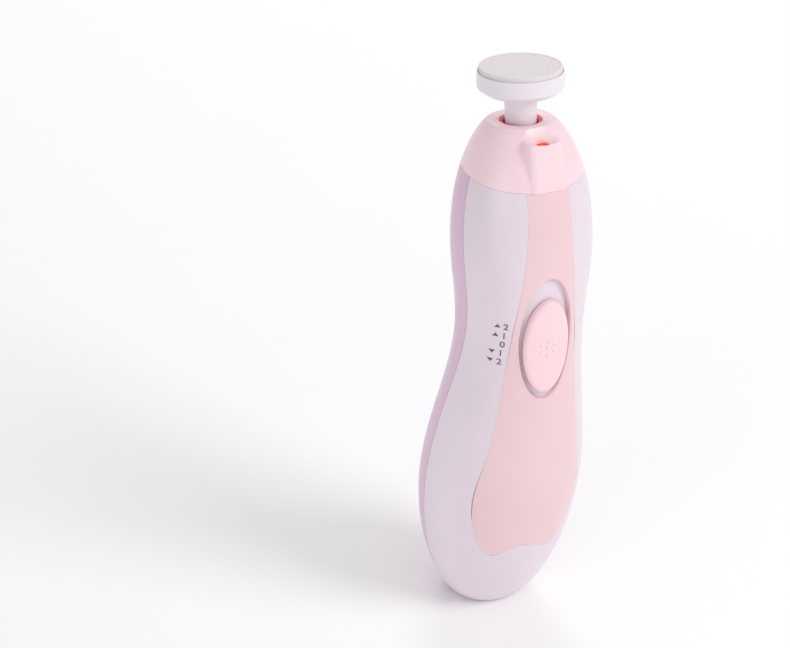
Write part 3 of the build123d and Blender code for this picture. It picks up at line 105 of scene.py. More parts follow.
def reach(side, height):
    """Distance from the centre line to the skin: a dome below the belly, smooth steps from belly to
    waist to shoulder, and above it the nose, one minus height share to a power, to a power."""
    base, belly, belly_at, dome, waist, waist_at, shoulder, shoulder_at, nose = side
    height = np.clip(height, 0.0, NOSE_TOP)
    low = base + (belly - base) * (1 - np.clip(1 - height / belly_at, 0, 1) ** 2) ** dome
    mid = belly + (waist - belly) * ease((height - belly_at) / (waist_at - belly_at))
    high = waist + (shoulder - waist) * ease((height - waist_at) / (shoulder_at - waist_at))
    share = np.clip((height - shoulder_at) / (NOSE_TOP - shoulder_at), 0, 1)
    top = nose + (shoulder - nose) * (1 - share ** NOSE_POWER) ** NOSE_ROUND
    return np.select([height <= belly_at, height <= waist_at, height <= shoulder_at],
                     [low, mid, high], top)


def centre_line(height):
    """Back, up and lean of the centre line: straight, an arc that leans back, straight again."""
    height = np.asarray(height, float)
    lean = TILT * np.clip((height - BEND_START) / BEND_LENGTH, 0, 1)
    past = np.clip(height - BEND_END, 0, None)
    back = BEND_RADIUS * (1 - np.cos(lean)) + past * np.sin(lean)
    up = np.minimum(height, BEND_START) + BEND_RADIUS * np.sin(lean) + past * np.cos(lean)
    return back, up, lean


def quarter(share):
    """Cubic curve from 1 to 0 with level and upright ends, its corner weight the fullness."""
    rest = 1 - share
    return rest ** 3 + 3 * rest * rest * share + 3 * FULLNESS * rest * share * share


def section(turn):
    """Across and back, each from -1 to 1, at a number of quarter turns from the right side."""
    share = np.mod(turn, 1.0)
    falling, rising = quarter(share), quarter(1 - share)
    which = np.mod(np.floor(turn), 4).astype(int)
    across = np.choose(which, [falling, -rising, -falling, rising])
    back = np.choose(which, [rising, falling, -rising, -falling])
    return across, back


def local_skin(height, turn):
    """Across and back of the skin in the plane square to the centre line."""
    across, back = section(turn)
    deep = np.where(back > 0, reach(BACK_DEPTH, height), reach(FRONT_DEPTH, height))
    return reach(HALF_WIDTH, height) * across, deep * back


def placed(across, back, height):
    """Point of the row frame at across, back and height along the centre line."""
    line_back, line_up, lean = centre_line(height)
    return np.stack(np.broadcast_arrays(across, line_back + back * np.cos(lean),
                                        line_up - back * np.sin(lean)), -1)


def on_shaft(across, back, height):
    """Point of the row frame in the straight frame of the drive shaft."""
    line_back, line_up, lean = centre_line(BEND_END)
    past = np.asarray(height, float) - BEND_END
    return np.stack(np.broadcast_arrays(
        across, line_back + past * np.sin(lean) + back * np.cos(lean),
        line_up + past * np.cos(lean) - back * np.sin(lean)), -1)


def skin(height, turn, lift=0.0):
    """The handle's surface, moved out by a lift along its own normal, which is the cross product
    of the two small steps along the surface."""
    step = 0.02
    point = placed(*local_skin(height, turn), height)
    along = placed(*local_skin(height + step, turn), height + step) \
        - placed(*local_skin(height - step, turn), height - step)
    round_it = placed(*local_skin(height, turn + step), height) \
        - placed(*local_skin(height, turn - step), height)
    normal = np.cross(round_it, along)
    normal /= np.linalg.norm(normal, axis=-1, keepdims=True)
    return point + normal * np.asarray(lift)[..., None]


FRONT_TURNS = np.linspace(LEFT, LEFT + 2, 801)
FRONT_ACROSS = section(FRONT_TURNS - 1e-9)[0]


def front_place(across, up):
    """Height and turn of the front skin point seen at across and up, found by stepping the height
    by what its own up is still wrong."""
    across, up = np.broadcast_arrays(np.asarray(across, float), np.asarray(up, float))
    height = up.copy()
    for _ in range(14):
        turn = np.interp(across / reach(HALF_WIDTH, height), FRONT_ACROSS, FRONT_TURNS)
        height = height + up - placed(*local_skin(height, turn), height)[..., 2]
    return height, turn


def on_front(across, up, lift=0.0):
    """Point over the front skin at across and up, lifted."""
    return skin(*front_place(across, up), lift)


SLIDE_FOOT = placed(0.0, -reach(FRONT_DEPTH, BUTTON_HEIGHT), BUTTON_HEIGHT)
SLIDE_ENDS = [placed(0.0, -reach(FRONT_DEPTH, BUTTON_HEIGHT + half), BUTTON_HEIGHT + half)
              for half in (-BUTTON_LENGTH / 2, BUTTON_LENGTH / 2)]
SLIDE = (SLIDE_ENDS[1] - SLIDE_ENDS[0]) / np.linalg.norm(SLIDE_ENDS[1] - SLIDE_ENDS[0])


def on_slide(across, along, lift=0.0):
    """Point over the front skin, found square to the button's slide, at across and along."""
    up = SLIDE_FOOT[2] + along * SLIDE[2]
    for _ in range(6):
        height, turn = front_place(across, up)
        point = skin(height, turn, lift)
        up = up + (along - (point - SLIDE_FOOT) @ SLIDE) * SLIDE[2]
    return point


# ---------------------------------------------------------------- meshes
def make_piece(name, vertices, faces, smooth_angle=35.0):
    """Object at the origin with its place in its mesh, its faces turned outwards."""
    mesh = bpy.data.meshes.new(name)
    mesh.from_pydata((np.asarray(vertices) * MM).tolist(), [], faces)
    shape = bmesh.new()
    shape.from_mesh(mesh)
    bmesh.ops.remove_doubles(shape, verts=shape.verts, dist=1e-7)
    bmesh.ops.recalc_face_normals(shape, faces=shape.faces)
    shape.to_mesh(mesh)
    shape.free()
    mesh.shade_smooth()
    mesh.set_sharp_from_angle(angle=math.radians(smooth_angle))
    piece = bpy.data.objects.new(name, mesh)
    bpy.context.scene.collection.objects.link(piece)
    return piece


def sheet_faces(rows, columns, wrap_rows=False, first=0):
    """Quads of a grid whose columns close on themselves, and whose rows may."""
    index = np.arange(rows * columns).reshape(rows, columns) + first
    index = np.concatenate([index, index[:, :1]], 1)
    if wrap_rows:
        index = np.concatenate([index, index[:1]], 0)
    return np.stack([index[:-1, :-1], index[:-1, 1:], index[1:, 1:], index[1:, :-1]],
                    -1).reshape(-1, 4).tolist()


def grid_piece(name, grid, wrap_rows=False, caps=(False, False), smooth_angle=35.0):
    """Piece from a grid of points, its open ends closed by a fan to the middle of the row."""
    rows, columns = grid.shape[:2]
    points = grid.reshape(-1, 3)
    faces = sheet_faces(rows, columns, wrap_rows)
    for wanted, row in zip(caps, (0, rows - 1)):
        if wanted:
            ring = row * columns + np.arange(columns)
            middle = np.full(columns, len(points))
            points = np.concatenate([points, grid[row].mean(0)[None]])
            faces += np.stack([ring, np.roll(ring, -1), middle], -1).tolist()
    return make_piece(name, points, faces, smooth_angle)


def turned(profile, columns=128, across=0.0, back=0.0):
    """Surface of revolution round a line along the shaft: radius times cosine and sine of the
    column's angle, at the profile's height."""
    angle = np.linspace(0, 2 * np.pi, columns, endpoint=False)
    radius, height = np.asarray(profile, float).T
    return on_shaft(across + radius[:, None] * np.cos(angle), back + radius[:, None] * np.sin(angle),
                    height[:, None])


def softened(corners, radius, steps=6):
    """Profile with each inner corner drawn as a parabola between two points a radius away."""
    corners = np.asarray(corners, float)
    share = np.linspace(0, 1, steps)[:, None]
    before, here, after = corners[:-2], corners[1:-1], corners[2:]
    runs = []
    for start, middle, end in zip(before, here, after):
        back_run, on_run = start - middle, end - middle
        back_cut = min(radius, 0.45 * np.linalg.norm(back_run)) / np.linalg.norm(back_run)
        on_cut = min(radius, 0.45 * np.linalg.norm(on_run)) / np.linalg.norm(on_run)
        first, last = middle + back_run * back_cut, middle + on_run * on_cut
        runs.append((1 - share) ** 2 * first + 2 * share * (1 - share) * middle + share ** 2 * last)
    return np.concatenate([corners[:1], *runs, corners[-1:]])


# ---------------------------------------------------------------- finishes
class Finish:
    """A node material: one surface shader and the procedural nodes that feed it."""

    def __init__(self, name):
        self.material = bpy.data.materials.new(name)
        self.material.use_nodes = True
        self.tree = self.material.node_tree
        self.shader = self.tree.nodes["Principled BSDF"]
        self.place = self.tree.nodes.new("ShaderNodeTexCoord").outputs["Object"]

    def node(self, kind, inputs=(), **settings):
        """Adds a node, sets its properties, and sets or links its inputs."""
        made = self.tree.nodes.new(kind)
        for key, value in settings.items():
            setattr(made, key, value)
        for key, value in dict(inputs).items():
            if isinstance(value, bpy.types.NodeSocket):
                self.tree.links.new(value, made.inputs[key])
            else:
                made.inputs[key].default_value = value
        return made

    def noise(self, scale, detail=3.0, roughness=0.5):
        """Grey noise over the piece, its scale in waves per metre."""
        return self.node("ShaderNodeTexNoise", {"Vector": self.place, "Scale": scale, "Detail": detail,
                                                "Roughness": roughness}).outputs["Fac"]

    def between(self, value, low, high, start=0.3, end=0.7):
        """A number that runs from low to high as the value runs from start to end."""
        return self.node("ShaderNodeMapRange", {"Value": value, "From Min": start, "From Max": end,
                                                "To Min": low, "To Max": high}).outputs["Result"]

    def blend(self, value, first, second):
        """A colour between two, by a value from 0 to 1."""
        made = self.node("ShaderNodeMix", data_type="RGBA", clamp_factor=True)
        for index, thing in ((0, value), (6, first), (7, second)):
            if isinstance(thing, bpy.types.NodeSocket):
                self.tree.links.new(thing, made.inputs[index])
            else:
                made.inputs[index].default_value = thing
        return made.outputs[2]

    def bump(self, height, distance, strength=1.0, below=None):
        """Normal of a height field, over the normal of another one if given."""
        inputs = {"Height": height, "Distance": distance, "Strength": strength}
        if below is not None:
            inputs["Normal"] = below
        return self.node("ShaderNodeBump", inputs).outputs["Normal"]

    def set(self, **sockets):
        """Sets or links the shader's sockets, named with underscores for spaces."""
        for key, value in sockets.items():
            socket = self.shader.inputs[key.replace("_", " ")]
            if isinstance(value, bpy.types.NodeSocket):
                self.tree.links.new(value, socket)
            else:
                socket.default_value = value
        return self.material


def shade(colour, factor):
    """A colour made lighter or darker."""
    return tuple(min(max(c * factor, 0.0), 1.0) for c in colour[:3]) + (1.0,)


def moulded(name, colour, gloss=0.34, grain=2600.0, depth=0.000003, coat=0.12, variation=0.03):
    """Injection-moulded plastic: a slow change of tone, a fine mould grain and a clear sheen."""
    finish = Finish(name)
    cloud = finish.between(finish.noise(38.0, 2.0), 0.0, 1.0)
    specks = finish.between(finish.noise(1500.0, 2.0), 0.0, 1.0, 0.62, 0.72)
    tone = finish.blend(cloud, shade(colour, 1 - variation), shade(colour, 1 + variation / 2))
    tone = finish.blend(finish.between(specks, 0.0, 0.03, 0, 1), tone, shade(colour, 0.75))
    rough = finish.between(finish.noise(320.0, 4.0, 0.6), gloss - 0.05, gloss + 0.06)
    waves = finish.bump(finish.noise(120.0, 1.0), 0.00003, 0.07)
    grain_bump = finish.bump(finish.noise(grain, 3.0, 0.6), depth, 0.5, waves)
    return finish.set(Base_Color=tone, Roughness=rough, Normal=grain_bump, Coat_Weight=coat,
                      Coat_Roughness=0.12, IOR=1.49)


def soft_rubber(name, colour):
    """Rubber: dull, with a fine even grain and a little dust in its tone."""
    finish = Finish(name)
    tone = finish.blend(finish.between(finish.noise(900.0, 4.0), 0.0, 1.0), shade(colour, 0.85),
                        shade(colour, 1.12))
    return finish.set(Base_Color=tone, Roughness=finish.between(finish.noise(500.0), 0.62, 0.8),
                      Normal=finish.bump(finish.noise(3800.0, 4.0, 0.7), 0.00003, 0.7))


def plated(name, colour, rough=0.28, brush=(60.0, 60.0, 2600.0)):
    """Plated metal: fine lines across its length, small stains in gloss and tone."""
    finish = Finish(name)
    stretched = finish.node("ShaderNodeMapping", {"Vector": finish.place, "Scale": brush})
    lines = finish.node("ShaderNodeTexNoise", {"Vector": stretched.outputs["Vector"], "Scale": 1.0,
                                               "Detail": 4.0}).outputs["Fac"]
    tone = finish.blend(finish.between(finish.noise(260.0, 5.0), 0.0, 1.0), shade(colour, 0.86),
                        shade(colour, 1.06))
    return finish.set(Base_Color=tone, Metallic=1.0,
                      Roughness=finish.between(lines, rough - 0.07, rough + 0.1),
                      Normal=finish.bump(lines, 0.00001, 0.5))


def board_laminate(name, colour, track):
    """Circuit board: green lacquer over straight copper tracks, with a glass weave under it."""
    finish = Finish(name)
    tracks = finish.node("ShaderNodeTexBrick", {"Vector": finish.place, "Scale": 260.0,
                                                "Mortar Size": 0.06, "Mortar Smooth": 0.1,
                                                "Brick Width": 0.8, "Row Height": 0.35})
    weave = finish.node("ShaderNodeTexWave", {"Vector": finish.place, "Scale": 900.0,
                                              "Distortion": 1.5})
    lacquer = finish.blend(weave.outputs["Fac"], shade(colour, 0.85), shade(colour, 1.15))
    return finish.set(Base_Color=finish.blend(tracks.outputs["Fac"], lacquer, track),
                      Roughness=finish.between(finish.noise(700.0), 0.25, 0.4), Coat_Weight=0.4,
                      Normal=finish.bump(tracks.outputs["Fac"], 0.00003, 0.6))


def wound_wire(name, colour, pitch=2600.0):
    """Enamelled copper wire laid side by side: round ridges across the arm of the core, and painted
    shade between them.
    """
    finish = Finish(name)
    ridges_and_valley_shade = finish.node("ShaderNodeTexWave", {"Vector": finish.place, "Scale": pitch / 6.283,
                                               "Distortion": 0.4, "Detail": 1.0},
                         bands_direction="Z").outputs["Fac"]
    # painted shade: the colour falls to half in the valleys between the turns
    return finish.set(Base_Color=finish.blend(ridges_and_valley_shade, shade(colour, 0.5), colour), Metallic=1.0,
                      Roughness=finish.between(finish.noise(800.0), 0.22, 0.36),
                      Normal=finish.bump(ridges_and_valley_shade, 0.00008, 0.9))


def cell_sleeve(name, colour, band):
    """Printed battery sleeve: a plain body with a wide coloured band and small scuffs."""
    finish = Finish(name)
    height = finish.node("ShaderNodeSeparateXYZ", {"Vector": finish.place}).outputs["Z"]
    top = finish.between(height, 0.0, 1.0, 0.0405, 0.0407)
    scuffs = finish.between(finish.noise(420.0, 6.0, 0.7), 0.0, 0.5, 0.58, 0.7)
    tone = finish.blend(top, colour, band)
    return finish.set(Base_Color=finish.blend(scuffs, tone, shade(colour, 1.6)),
                      Roughness=finish.between(finish.noise(300.0), 0.24, 0.4), Metallic=0.35,
                      Normal=finish.bump(finish.noise(1200.0), 0.00001, 0.4), Coat_Weight=0.3)


def abrasive(name, colour, binder):
    """Bonded grit: crystals of a tenth of a millimetre in a pale binder, all rough."""
    finish = Finish(name)
    grains = finish.node("ShaderNodeTexVoronoi", {"Vector": finish.place, "Scale": 6200.0},
                         feature="F1")
    coarse = finish.node("ShaderNodeTexVoronoi", {"Vector": finish.place, "Scale": 2300.0},
                         feature="F1")
    tone = finish.blend(finish.between(grains.outputs["Distance"], 0.0, 1.0, 0.15, 0.6), colour,
                        binder)
    tone = finish.blend(finish.between(coarse.outputs["Distance"], 0.0, 0.35, 0.35, 0.65), tone,
                        shade(binder, 0.86))
    rough = finish.bump(coarse.outputs["Distance"], 0.00006, 0.5)
    return finish.set(Base_Color=tone, Roughness=finish.between(finish.noise(2400.0), 0.6, 0.85),
                      Normal=finish.bump(grains.outputs["Distance"], 0.00005, 0.7, rough))


def tinted_lens(name, colour, glow, strength):
    """Clear tinted resin over a lit die: the glow's tone wavers a little over the dome."""
    finish = Finish(name)
    cloud = finish.between(finish.noise(900.0, 2.0), 0.8, 1.0)
    tone = finish.blend(cloud, shade(colour, 0.8), colour)
    return finish.set(Base_Color=tone, Roughness=finish.between(finish.noise(1500.0), 0.06, 0.16),
                      Emission_Color=finish.blend(cloud, shade(glow, 0.7), glow),
                      Emission_Strength=strength, Coat_Weight=1.0, IOR=1.5)


def studio_floor(name, colour):
    """Pale matt sweep with a hardly visible paper tone."""
    finish = Finish(name)
    tone = finish.blend(finish.between(finish.noise(6.0, 3.0), 0.0, 1.0), shade(colour, 0.99), colour)
    return finish.set(Base_Color=tone, Roughness=finish.between(finish.noise(40.0), 0.75, 0.85))


def give(piece, material):
    """The piece shows this material only."""
    piece.data.materials.clear()
    piece.data.materials.append(material)
    return piece


# ---------------------------------------------------------------- settings
def colour_property(name, description, default):
    return FloatVectorProperty(name=name, description=description, default=default, size=4,
                               subtype="COLOR", min=0.0, max=1.0)


class CallusFileColours(bpy.types.PropertyGroup):
    """Colours of the outer pieces."""
    front: colour_property("Front shell", "Front shell plastic", (0.79, 0.695, 0.77, 1.0))
    rear: colour_property("Rear shell", "Rear shell and battery door", (0.70, 0.50, 0.645, 1.0))
    nose: colour_property("Nose", "Nose hood plastic", (0.93, 0.70, 0.75, 1.0))
    inlay: colour_property("Inlay", "Inlay panel plastic", (0.84, 0.61, 0.645, 1.0))
    button: colour_property("Button", "Thumb button plastic", (0.96, 0.68, 0.73, 1.0))
    # the liner's deep red is painted shade: the dark inside of the nose's hole drawn as colour on the
    # sleeve
    liner: colour_property("Liner", "Sleeve in the nose's hole", (0.80, 0.12, 0.14, 1.0))
    head: colour_property("Head", "Disc holder plastic", (0.82, 0.76, 0.82, 1.0))
    pad: colour_property("Pad", "Abrasive pad", (0.86, 0.80, 0.825, 1.0))
    print_ink: colour_property("Marks", "Position marks", (0.16, 0.11, 0.14, 1.0))
    glow: colour_property("Lamp", "Work light", (1.0, 0.16, 0.06, 1.0))


def millimetres(name, description, default, low, high):
    return FloatProperty(name=name, description=f"{description}, in millimetres", default=default,
                         min=low, max=high)


class CallusFileSizes(bpy.types.PropertyGroup):
    """Sizes of the visible details."""
    panel_lift: millimetres("Inlay lift", "How far the inlay stands proud", 0.04, 0.0, 0.3)
    edge_roll: millimetres("Inlay edge", "Radius of the inlay's outer edge", 0.30, 0.05, 1.0)
    dish_roll: millimetres("Recess edge", "Radius of the recess's edge", 0.55, 0.05, 1.0)
    button_rise: millimetres("Button rise", "Button over the skin", 1.0, 0.2, 2.0)
    button_roll: millimetres("Button edge", "Radius of the button's edge", 1.0, 0.2, 2.0)
    scoop: millimetres("Scoop", "Depth of the scoop round the work light", 0.9, 0.0, 2.0)
    mark_height: millimetres("Mark height", "Height of a printed digit", 1.55, 0.5, 3.0)
    glow_strength: FloatProperty(name="Glow", description="Strength of the work light",
                                 default=1.6, min=0.0, max=20.0)


class CallusFileStage(bpy.types.PropertyGroup):
    """Floor, light and camera."""
    floor: colour_property("Floor", "Floor colour", (0.97, 0.97, 0.975, 1.0))
    key_power: FloatProperty(name="Key light", description="Power of the key light", default=4.5,
                             min=0.0, unit="POWER")
    world: FloatProperty(name="Sky", description="Strength of the even light", default=0.60, min=0.0)
    distance: FloatProperty(name="Camera distance", description="Camera to the waist",
                            default=0.9, min=0.2, unit="LENGTH")


# ---------------------------------------------------------------- operators
class CALLUS_OT_finish_frame(bpy.types.Operator):
    """Give every piece of the frame its own finish"""
    bl_idname = "callus.finish_frame"
    bl_label = "Finish Frame Pieces"

    def execute(self, context):
        tones = context.scene.callus_colours
        steel, zinc = (0.62, 0.62, 0.63, 1), (0.70, 0.71, 0.73, 1)
        white, dark = (0.82, 0.82, 0.81, 1), (0.03, 0.03, 0.032, 1)
        groups = {
            ("front_shell",): moulded("front_shell_plastic", tones.front),
            ("rear_shell",): moulded("rear_shell_plastic", tones.rear),
            ("battery_door",): moulded("door_plastic", shade(tones.rear, 1.03)),
            ("nose_cap",): moulded("nose_plastic", tones.nose),
            ("front_panel",): moulded("inlay_plastic", tones.inlay),
            ("thumb_button",): moulded("button_plastic", tones.button),
            # the liner's red is painted shade, the dark of the hole it lines drawn as colour
            ("nose_liner",): soft_rubber("liner_painted_shade", tones.liner),
            ("head_base",): moulded("holder_plastic", tones.head),
            ("sanding_pad",): abrasive("pad_grit", tones.pad, shade(tones.pad, 0.9)),
            ("lamp",): tinted_lens("lamp_resin", (0.9, 0.2, 0.1, 1), tones.glow, 1.0),
            ("battery_tray", "motor_bracket"): moulded("inner_moulding", white, gloss=0.42, coat=0.0),
            ("motor_end_bell",): moulded("bell_moulding", shade(white, 0.93), gloss=0.38, coat=0.0),
            ("slider_carrier", "switch_lever"): moulded("slider_moulding", dark, gloss=0.4, coat=0.0),
            ("motor_damper",): soft_rubber("damper_rubber", dark),
            ("circuit_board",): board_laminate("board_lacquer", (0.02, 0.13, 0.05, 1),
                                               (0.05, 0.26, 0.09, 1)),
            ("board_components",): moulded("chip_moulding", dark, gloss=0.5, coat=0.0),
            ("cell_left", "cell_right"): cell_sleeve("cell_sleeve", (0.035, 0.04, 0.055, 1),
                                                     (0.55, 0.33, 0.07, 1)),
            ("switch_housing", "motor_can"): plated("plated_steel", steel),
            ("board_screws", "bracket_screws", "case_screws"): plated("zinc_screws", zinc, 0.34),
            ("bridge_contact", "bridge_spring", "plus_contact", "minus_contact", "minus_spring",
             "lamp_legs"): plated("nickel_plate", (0.72, 0.70, 0.66, 1), 0.2),
            ("motor_terminals",): plated("tinned_brass", (0.78, 0.62, 0.34, 1), 0.3),
            ("motor_bushings",): plated("sintered_bronze", (0.42, 0.24, 0.10, 1), 0.5),
            ("motor_magnets",): soft_rubber("ferrite", (0.06, 0.06, 0.065, 1)),
            ("motor_shaft",): plated("ground_steel", steel, 0.16, (2600.0, 2600.0, 60.0)),
            ("armature_core",): plated("core_sheets", (0.34, 0.34, 0.36, 1), 0.42),
            ("armature_windings",): wound_wire("copper_wire", (0.72, 0.30, 0.12, 1)),
            ("commutator",): plated("commutator_copper", (0.80, 0.40, 0.22, 1), 0.3),
            ("drive_coupler",): moulded("coupler_moulding", (0.72, 0.72, 0.70, 1), coat=0.1),
        }
        red, black = (0.55, 0.03, 0.03, 1), (0.02, 0.02, 0.022, 1)
        leads = {"plus_lead": red, "minus_lead": black, "lamp_lead_left": red,
                 "lamp_lead_right": black, "motor_lead_left": (0.62, 0.40, 0.03, 1),
                 "motor_lead_right": (0.03, 0.10, 0.42, 1)}
        groups.update({(node,): soft_rubber(f"{node}_sleeve", colour)
                       for node, colour in leads.items()})
        for nodes, material in groups.items():
            for node in nodes:
                give(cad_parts[node], material)
        bare = sorted(set(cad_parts) - {node for nodes in groups for node in nodes})
        if bare:
            raise RuntimeError(f"no finish for {bare}")
        return {"FINISHED"}


class CALLUS_OT_nose_hood(bpy.types.Operator):
    """Build the nose hood with its blended work-light pod, scooped top and hole"""
    bl_idname = "callus.nose_hood"
    bl_label = "Nose Hood"

    seam_height = SEAM_HEIGHT - 0.06        # a little low, so that the joint line stays thin
    pod_foot, pod_half, pod_top_half, pod_front, pod_top_front = 117.7, 5.3, 4.8, 14.6, 12.8
    squareness, valley = 7.0, 0.28          # of the pod's corners; width of its blend
    ledge, brow = POD_TOP - 0.35, POD_TOP + 0.15
    roof, wall = 127.0, 2.6

    def outer(self, turn, height):
        """Nose skin joined with the pod: the larger of the two distances from the shaft, with a
        rounded valley between them; the pod is a box with rounded corners seen along the shaft
        and fades out over its top."""
        across, back = local_skin(height, turn)
        distance = np.hypot(across, back)
        share = np.clip((height - self.pod_foot) / (POD_TOP - self.pod_foot), 0, 1)
        half = self.pod_half + (self.pod_top_half - self.pod_half) * share
        front = self.pod_front + (self.pod_top_front - self.pod_front) * share
        side_on, face_on = np.abs(across / distance), np.clip(-back / distance, 1e-3, None)
        power = self.squareness
        pod = ((face_on / front) ** power + (side_on / half) ** power) ** (-1 / power)
        gap = np.where(back < 0, pod, 0.0) - distance
        fade = ease((self.brow - height) / (self.brow - self.ledge))
        joined = distance + fade * (gap + np.sqrt(gap * gap + self.valley ** 2)) / 2
        joined = np.where(gap > -6 * self.valley, joined, distance)
        return across * joined / distance, back * joined / distance

    def execute(self, context):
        near = np.linspace(-1, 1, 161)
        pod_turns = FRONT + 0.5 * (0.45 * near + 0.55 * near ** 3)
        rest_turns = np.linspace(FRONT + 0.5, FRONT + 3.5, 122)[1:-1]
        turn = np.concatenate([pod_turns, rest_turns])[None, :]
        seam = np.full_like(turn, self.seam_height)
        for _ in range(12):
            seam = self.seam_height + self.outer(turn, seam)[1] * SEAM_SLOPE
        rows = np.concatenate([np.linspace(0, 0.955, 58)[:-1], np.linspace(0.955, 1.0, 4)[:-1]])
        rim_height = NOSE_TOP - 0.02
        body = seam + (self.ledge - seam) * rows[:, None]
        edge = np.linspace(self.ledge, self.brow, 20)[:-1, None] + 0 * seam
        rise = np.sin(np.linspace(0, np.pi / 2, 26))[:, None]
        crown = self.brow + (rim_height - self.brow) * rise + 0 * seam
        height = np.concatenate([body, edge, crown])
        across, back = self.outer(turn + 0 * height, height)
        # the scoop: nothing stands above a bowl round the lamp, steeper towards the shaft
        past = back + LAMP_DEPTH
        bowl = POD_TOP - context.scene.callus_sizes.scoop + 0.16 * (across / 2.0) ** 2 \
            + np.where(past > 0, 0.75, 0.22) * (past / 1.7) ** 2
        over = height - bowl
        over = np.where(back < 0, (over + np.sqrt(over * over + 0.02)) / 2, 0.0)
        outside = on_shaft(across, back, height - over)
        # over the rim and down the hole, then back under the roof to the seam
        rim_across, rim_back = across[-1], back[-1]
        rim = np.hypot(rim_across, rim_back)
        share = np.linspace(0, 1, 8)[1:, None]
        lip = rim - 0.6 * share
        lip_height = rim_height + 0.06 * np.sin(share * np.pi / 2)
        inner = softened([(6.9, NOSE_TOP + 0.06), (NOSE_HOLE, NOSE_TOP - 0.08),
                          (NOSE_HOLE, self.roof + 0.5), (NOSE_HOLE + 0.6, self.roof + 0.2)], 0.45)
        radius = inner[:, 0][:, None] + 0 * rim
        distance = np.concatenate([lip, radius])
        levels = np.concatenate([lip_height + 0 * rim, inner[:, 1][:, None] + 0 * rim])
        inside = on_shaft(rim_across * distance / rim, rim_back * distance / rim, levels)
        fall = np.linspace(0, 1, 24)[:, None]
        under = self.roof + (seam - self.roof) * fall
        roof_across, roof_back = local_skin(under, turn + 0 * under)
        reached = np.hypot(roof_across, roof_back)
        kept = (reached - self.wall) / reached
        under_side = on_shaft(roof_across * kept, roof_back * kept, under)
        hood = grid_piece("nose_hood", np.concatenate([outside, inside, under_side]), wrap_rows=True,
                          smooth_angle=40.0)
        cutter = grid_piece("lamp_hole_cutter", turned(
            [(LAMP_HOLE, 124.0), (LAMP_HOLE, 130.5)], 64, 0.0, -LAMP_DEPTH), caps=(True, True))
        cut = hood.modifiers.new("lamp hole", "BOOLEAN")
        cut.operation, cut.solver, cut.object = "DIFFERENCE", "EXACT", cutter
        shown = bpy.context.evaluated_depsgraph_get()
        mesh = bpy.data.meshes.new_from_object(hood.evaluated_get(shown))
        hood.modifiers.clear()
        hood.data = mesh
        bpy.data.objects.remove(cutter)
        mesh.shade_smooth()
        mesh.set_sharp_from_angle(angle=math.radians(40))
        give(hood, bpy.data.materials["nose_plastic"])
        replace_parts(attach(hood, "handle"), "nose_cap")
        return {"FINISHED"}


class CALLUS_OT_work_light(bpy.types.Operator):
    """Build the work light's lens and the cup that it sits in"""
    bl_idname = "callus.work_light"
    bl_label = "Work Light"

    def execute(self, context):
        sizes, tones = context.scene.callus_sizes, context.scene.callus_colours
        dome = np.linspace(0, np.pi / 2, 14)
        foot, flange_top = 122.9, 123.9
        low = [(0.3, foot), (LAMP_FLANGE, foot), (LAMP_FLANGE, flange_top),
               (LAMP_RADIUS, flange_top + 0.05)]
        top = [(LAMP_RADIUS * math.cos(a), LAMP_TOP - LAMP_RADIUS + LAMP_RADIUS * math.sin(a))
               for a in dome[:-1]]
        lens = grid_piece("lamp_lens", turned(low + top + [(0.02, LAMP_TOP)], 64, 0.0, -LAMP_DEPTH),
                          caps=(True, True))
        give(lens, tinted_lens("lens_resin", (0.95, 0.22, 0.12, 1), tones.glow, sizes.glow_strength))
        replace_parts(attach(lens, "handle"), "lamp")
        rings = [(LAMP_HOLE - 0.02, LAMP_TOP), (1.42, LAMP_TOP - 0.1), (1.34, LAMP_TOP - 2.0),
                 (1.34, LAMP_TOP - 2.6), (1.6, LAMP_TOP - 2.6)]
        cup = grid_piece("lamp_cup", turned(softened(rings, 0.1), 64, 0.0, -LAMP_DEPTH),
                         wrap_rows=True)
        # the cup's red-orange is painted light: the lamp's glow on the cup's walls drawn as colour
        give(cup, soft_rubber("cup_painted_glow", (0.85, 0.10, 0.06, 1)))
        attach(cup, "handle")
        return {"FINISHED"}


def clamped_curve(points, start, end, count):
    """Smooth curve through points with given end slopes: cubic pieces over the chord lengths whose
    inner slopes make the second derivatives agree."""
    points = np.asarray(points, float)
    gaps = np.linalg.norm(np.diff(points, axis=0), axis=1)
    places = np.concatenate([[0], np.cumsum(gaps)])
    size = len(points)
    matrix, right = np.zeros((size, size)), np.zeros((size, 2))
    matrix[0, 0] = matrix[-1, -1] = 1
    right[0], right[-1] = start, end
    inner = np.arange(1, size - 1)
    before, after = gaps[:-1], gaps[1:]
    matrix[inner, inner - 1], matrix[inner, inner + 1] = after, before
    matrix[inner, inner] = 2 * (before + after)
    rise = np.diff(points, axis=0) / gaps[:, None]
    right[1:-1] = 3 * (after[:, None] * rise[:-1] + before[:, None] * rise[1:])
    slopes = np.linalg.solve(matrix, right)
    at = np.linspace(0, places[-1], count)
    piece = np.clip(np.searchsorted(places, at) - 1, 0, size - 2)
    width = gaps[piece][:, None]
    t = (at - places[piece])[:, None] / width
    rising = 3 * t ** 2 - 2 * t ** 3
    return ((1 - rising) * points[piece] + (t ** 3 - 2 * t ** 2 + t) * width * slopes[piece]
            + rising * points[piece + 1] + (t ** 3 - t ** 2) * width * slopes[piece + 1])


def evenly(curve, count):
    """The curve's points spaced evenly along its length."""
    places = np.concatenate([[0], np.cumsum(np.linalg.norm(np.diff(curve, axis=0), axis=1))])
    at = np.linspace(0, places[-1], count)
    return np.stack([np.interp(at, places, curve[:, 0]), np.interp(at, places, curve[:, 1])], -1)


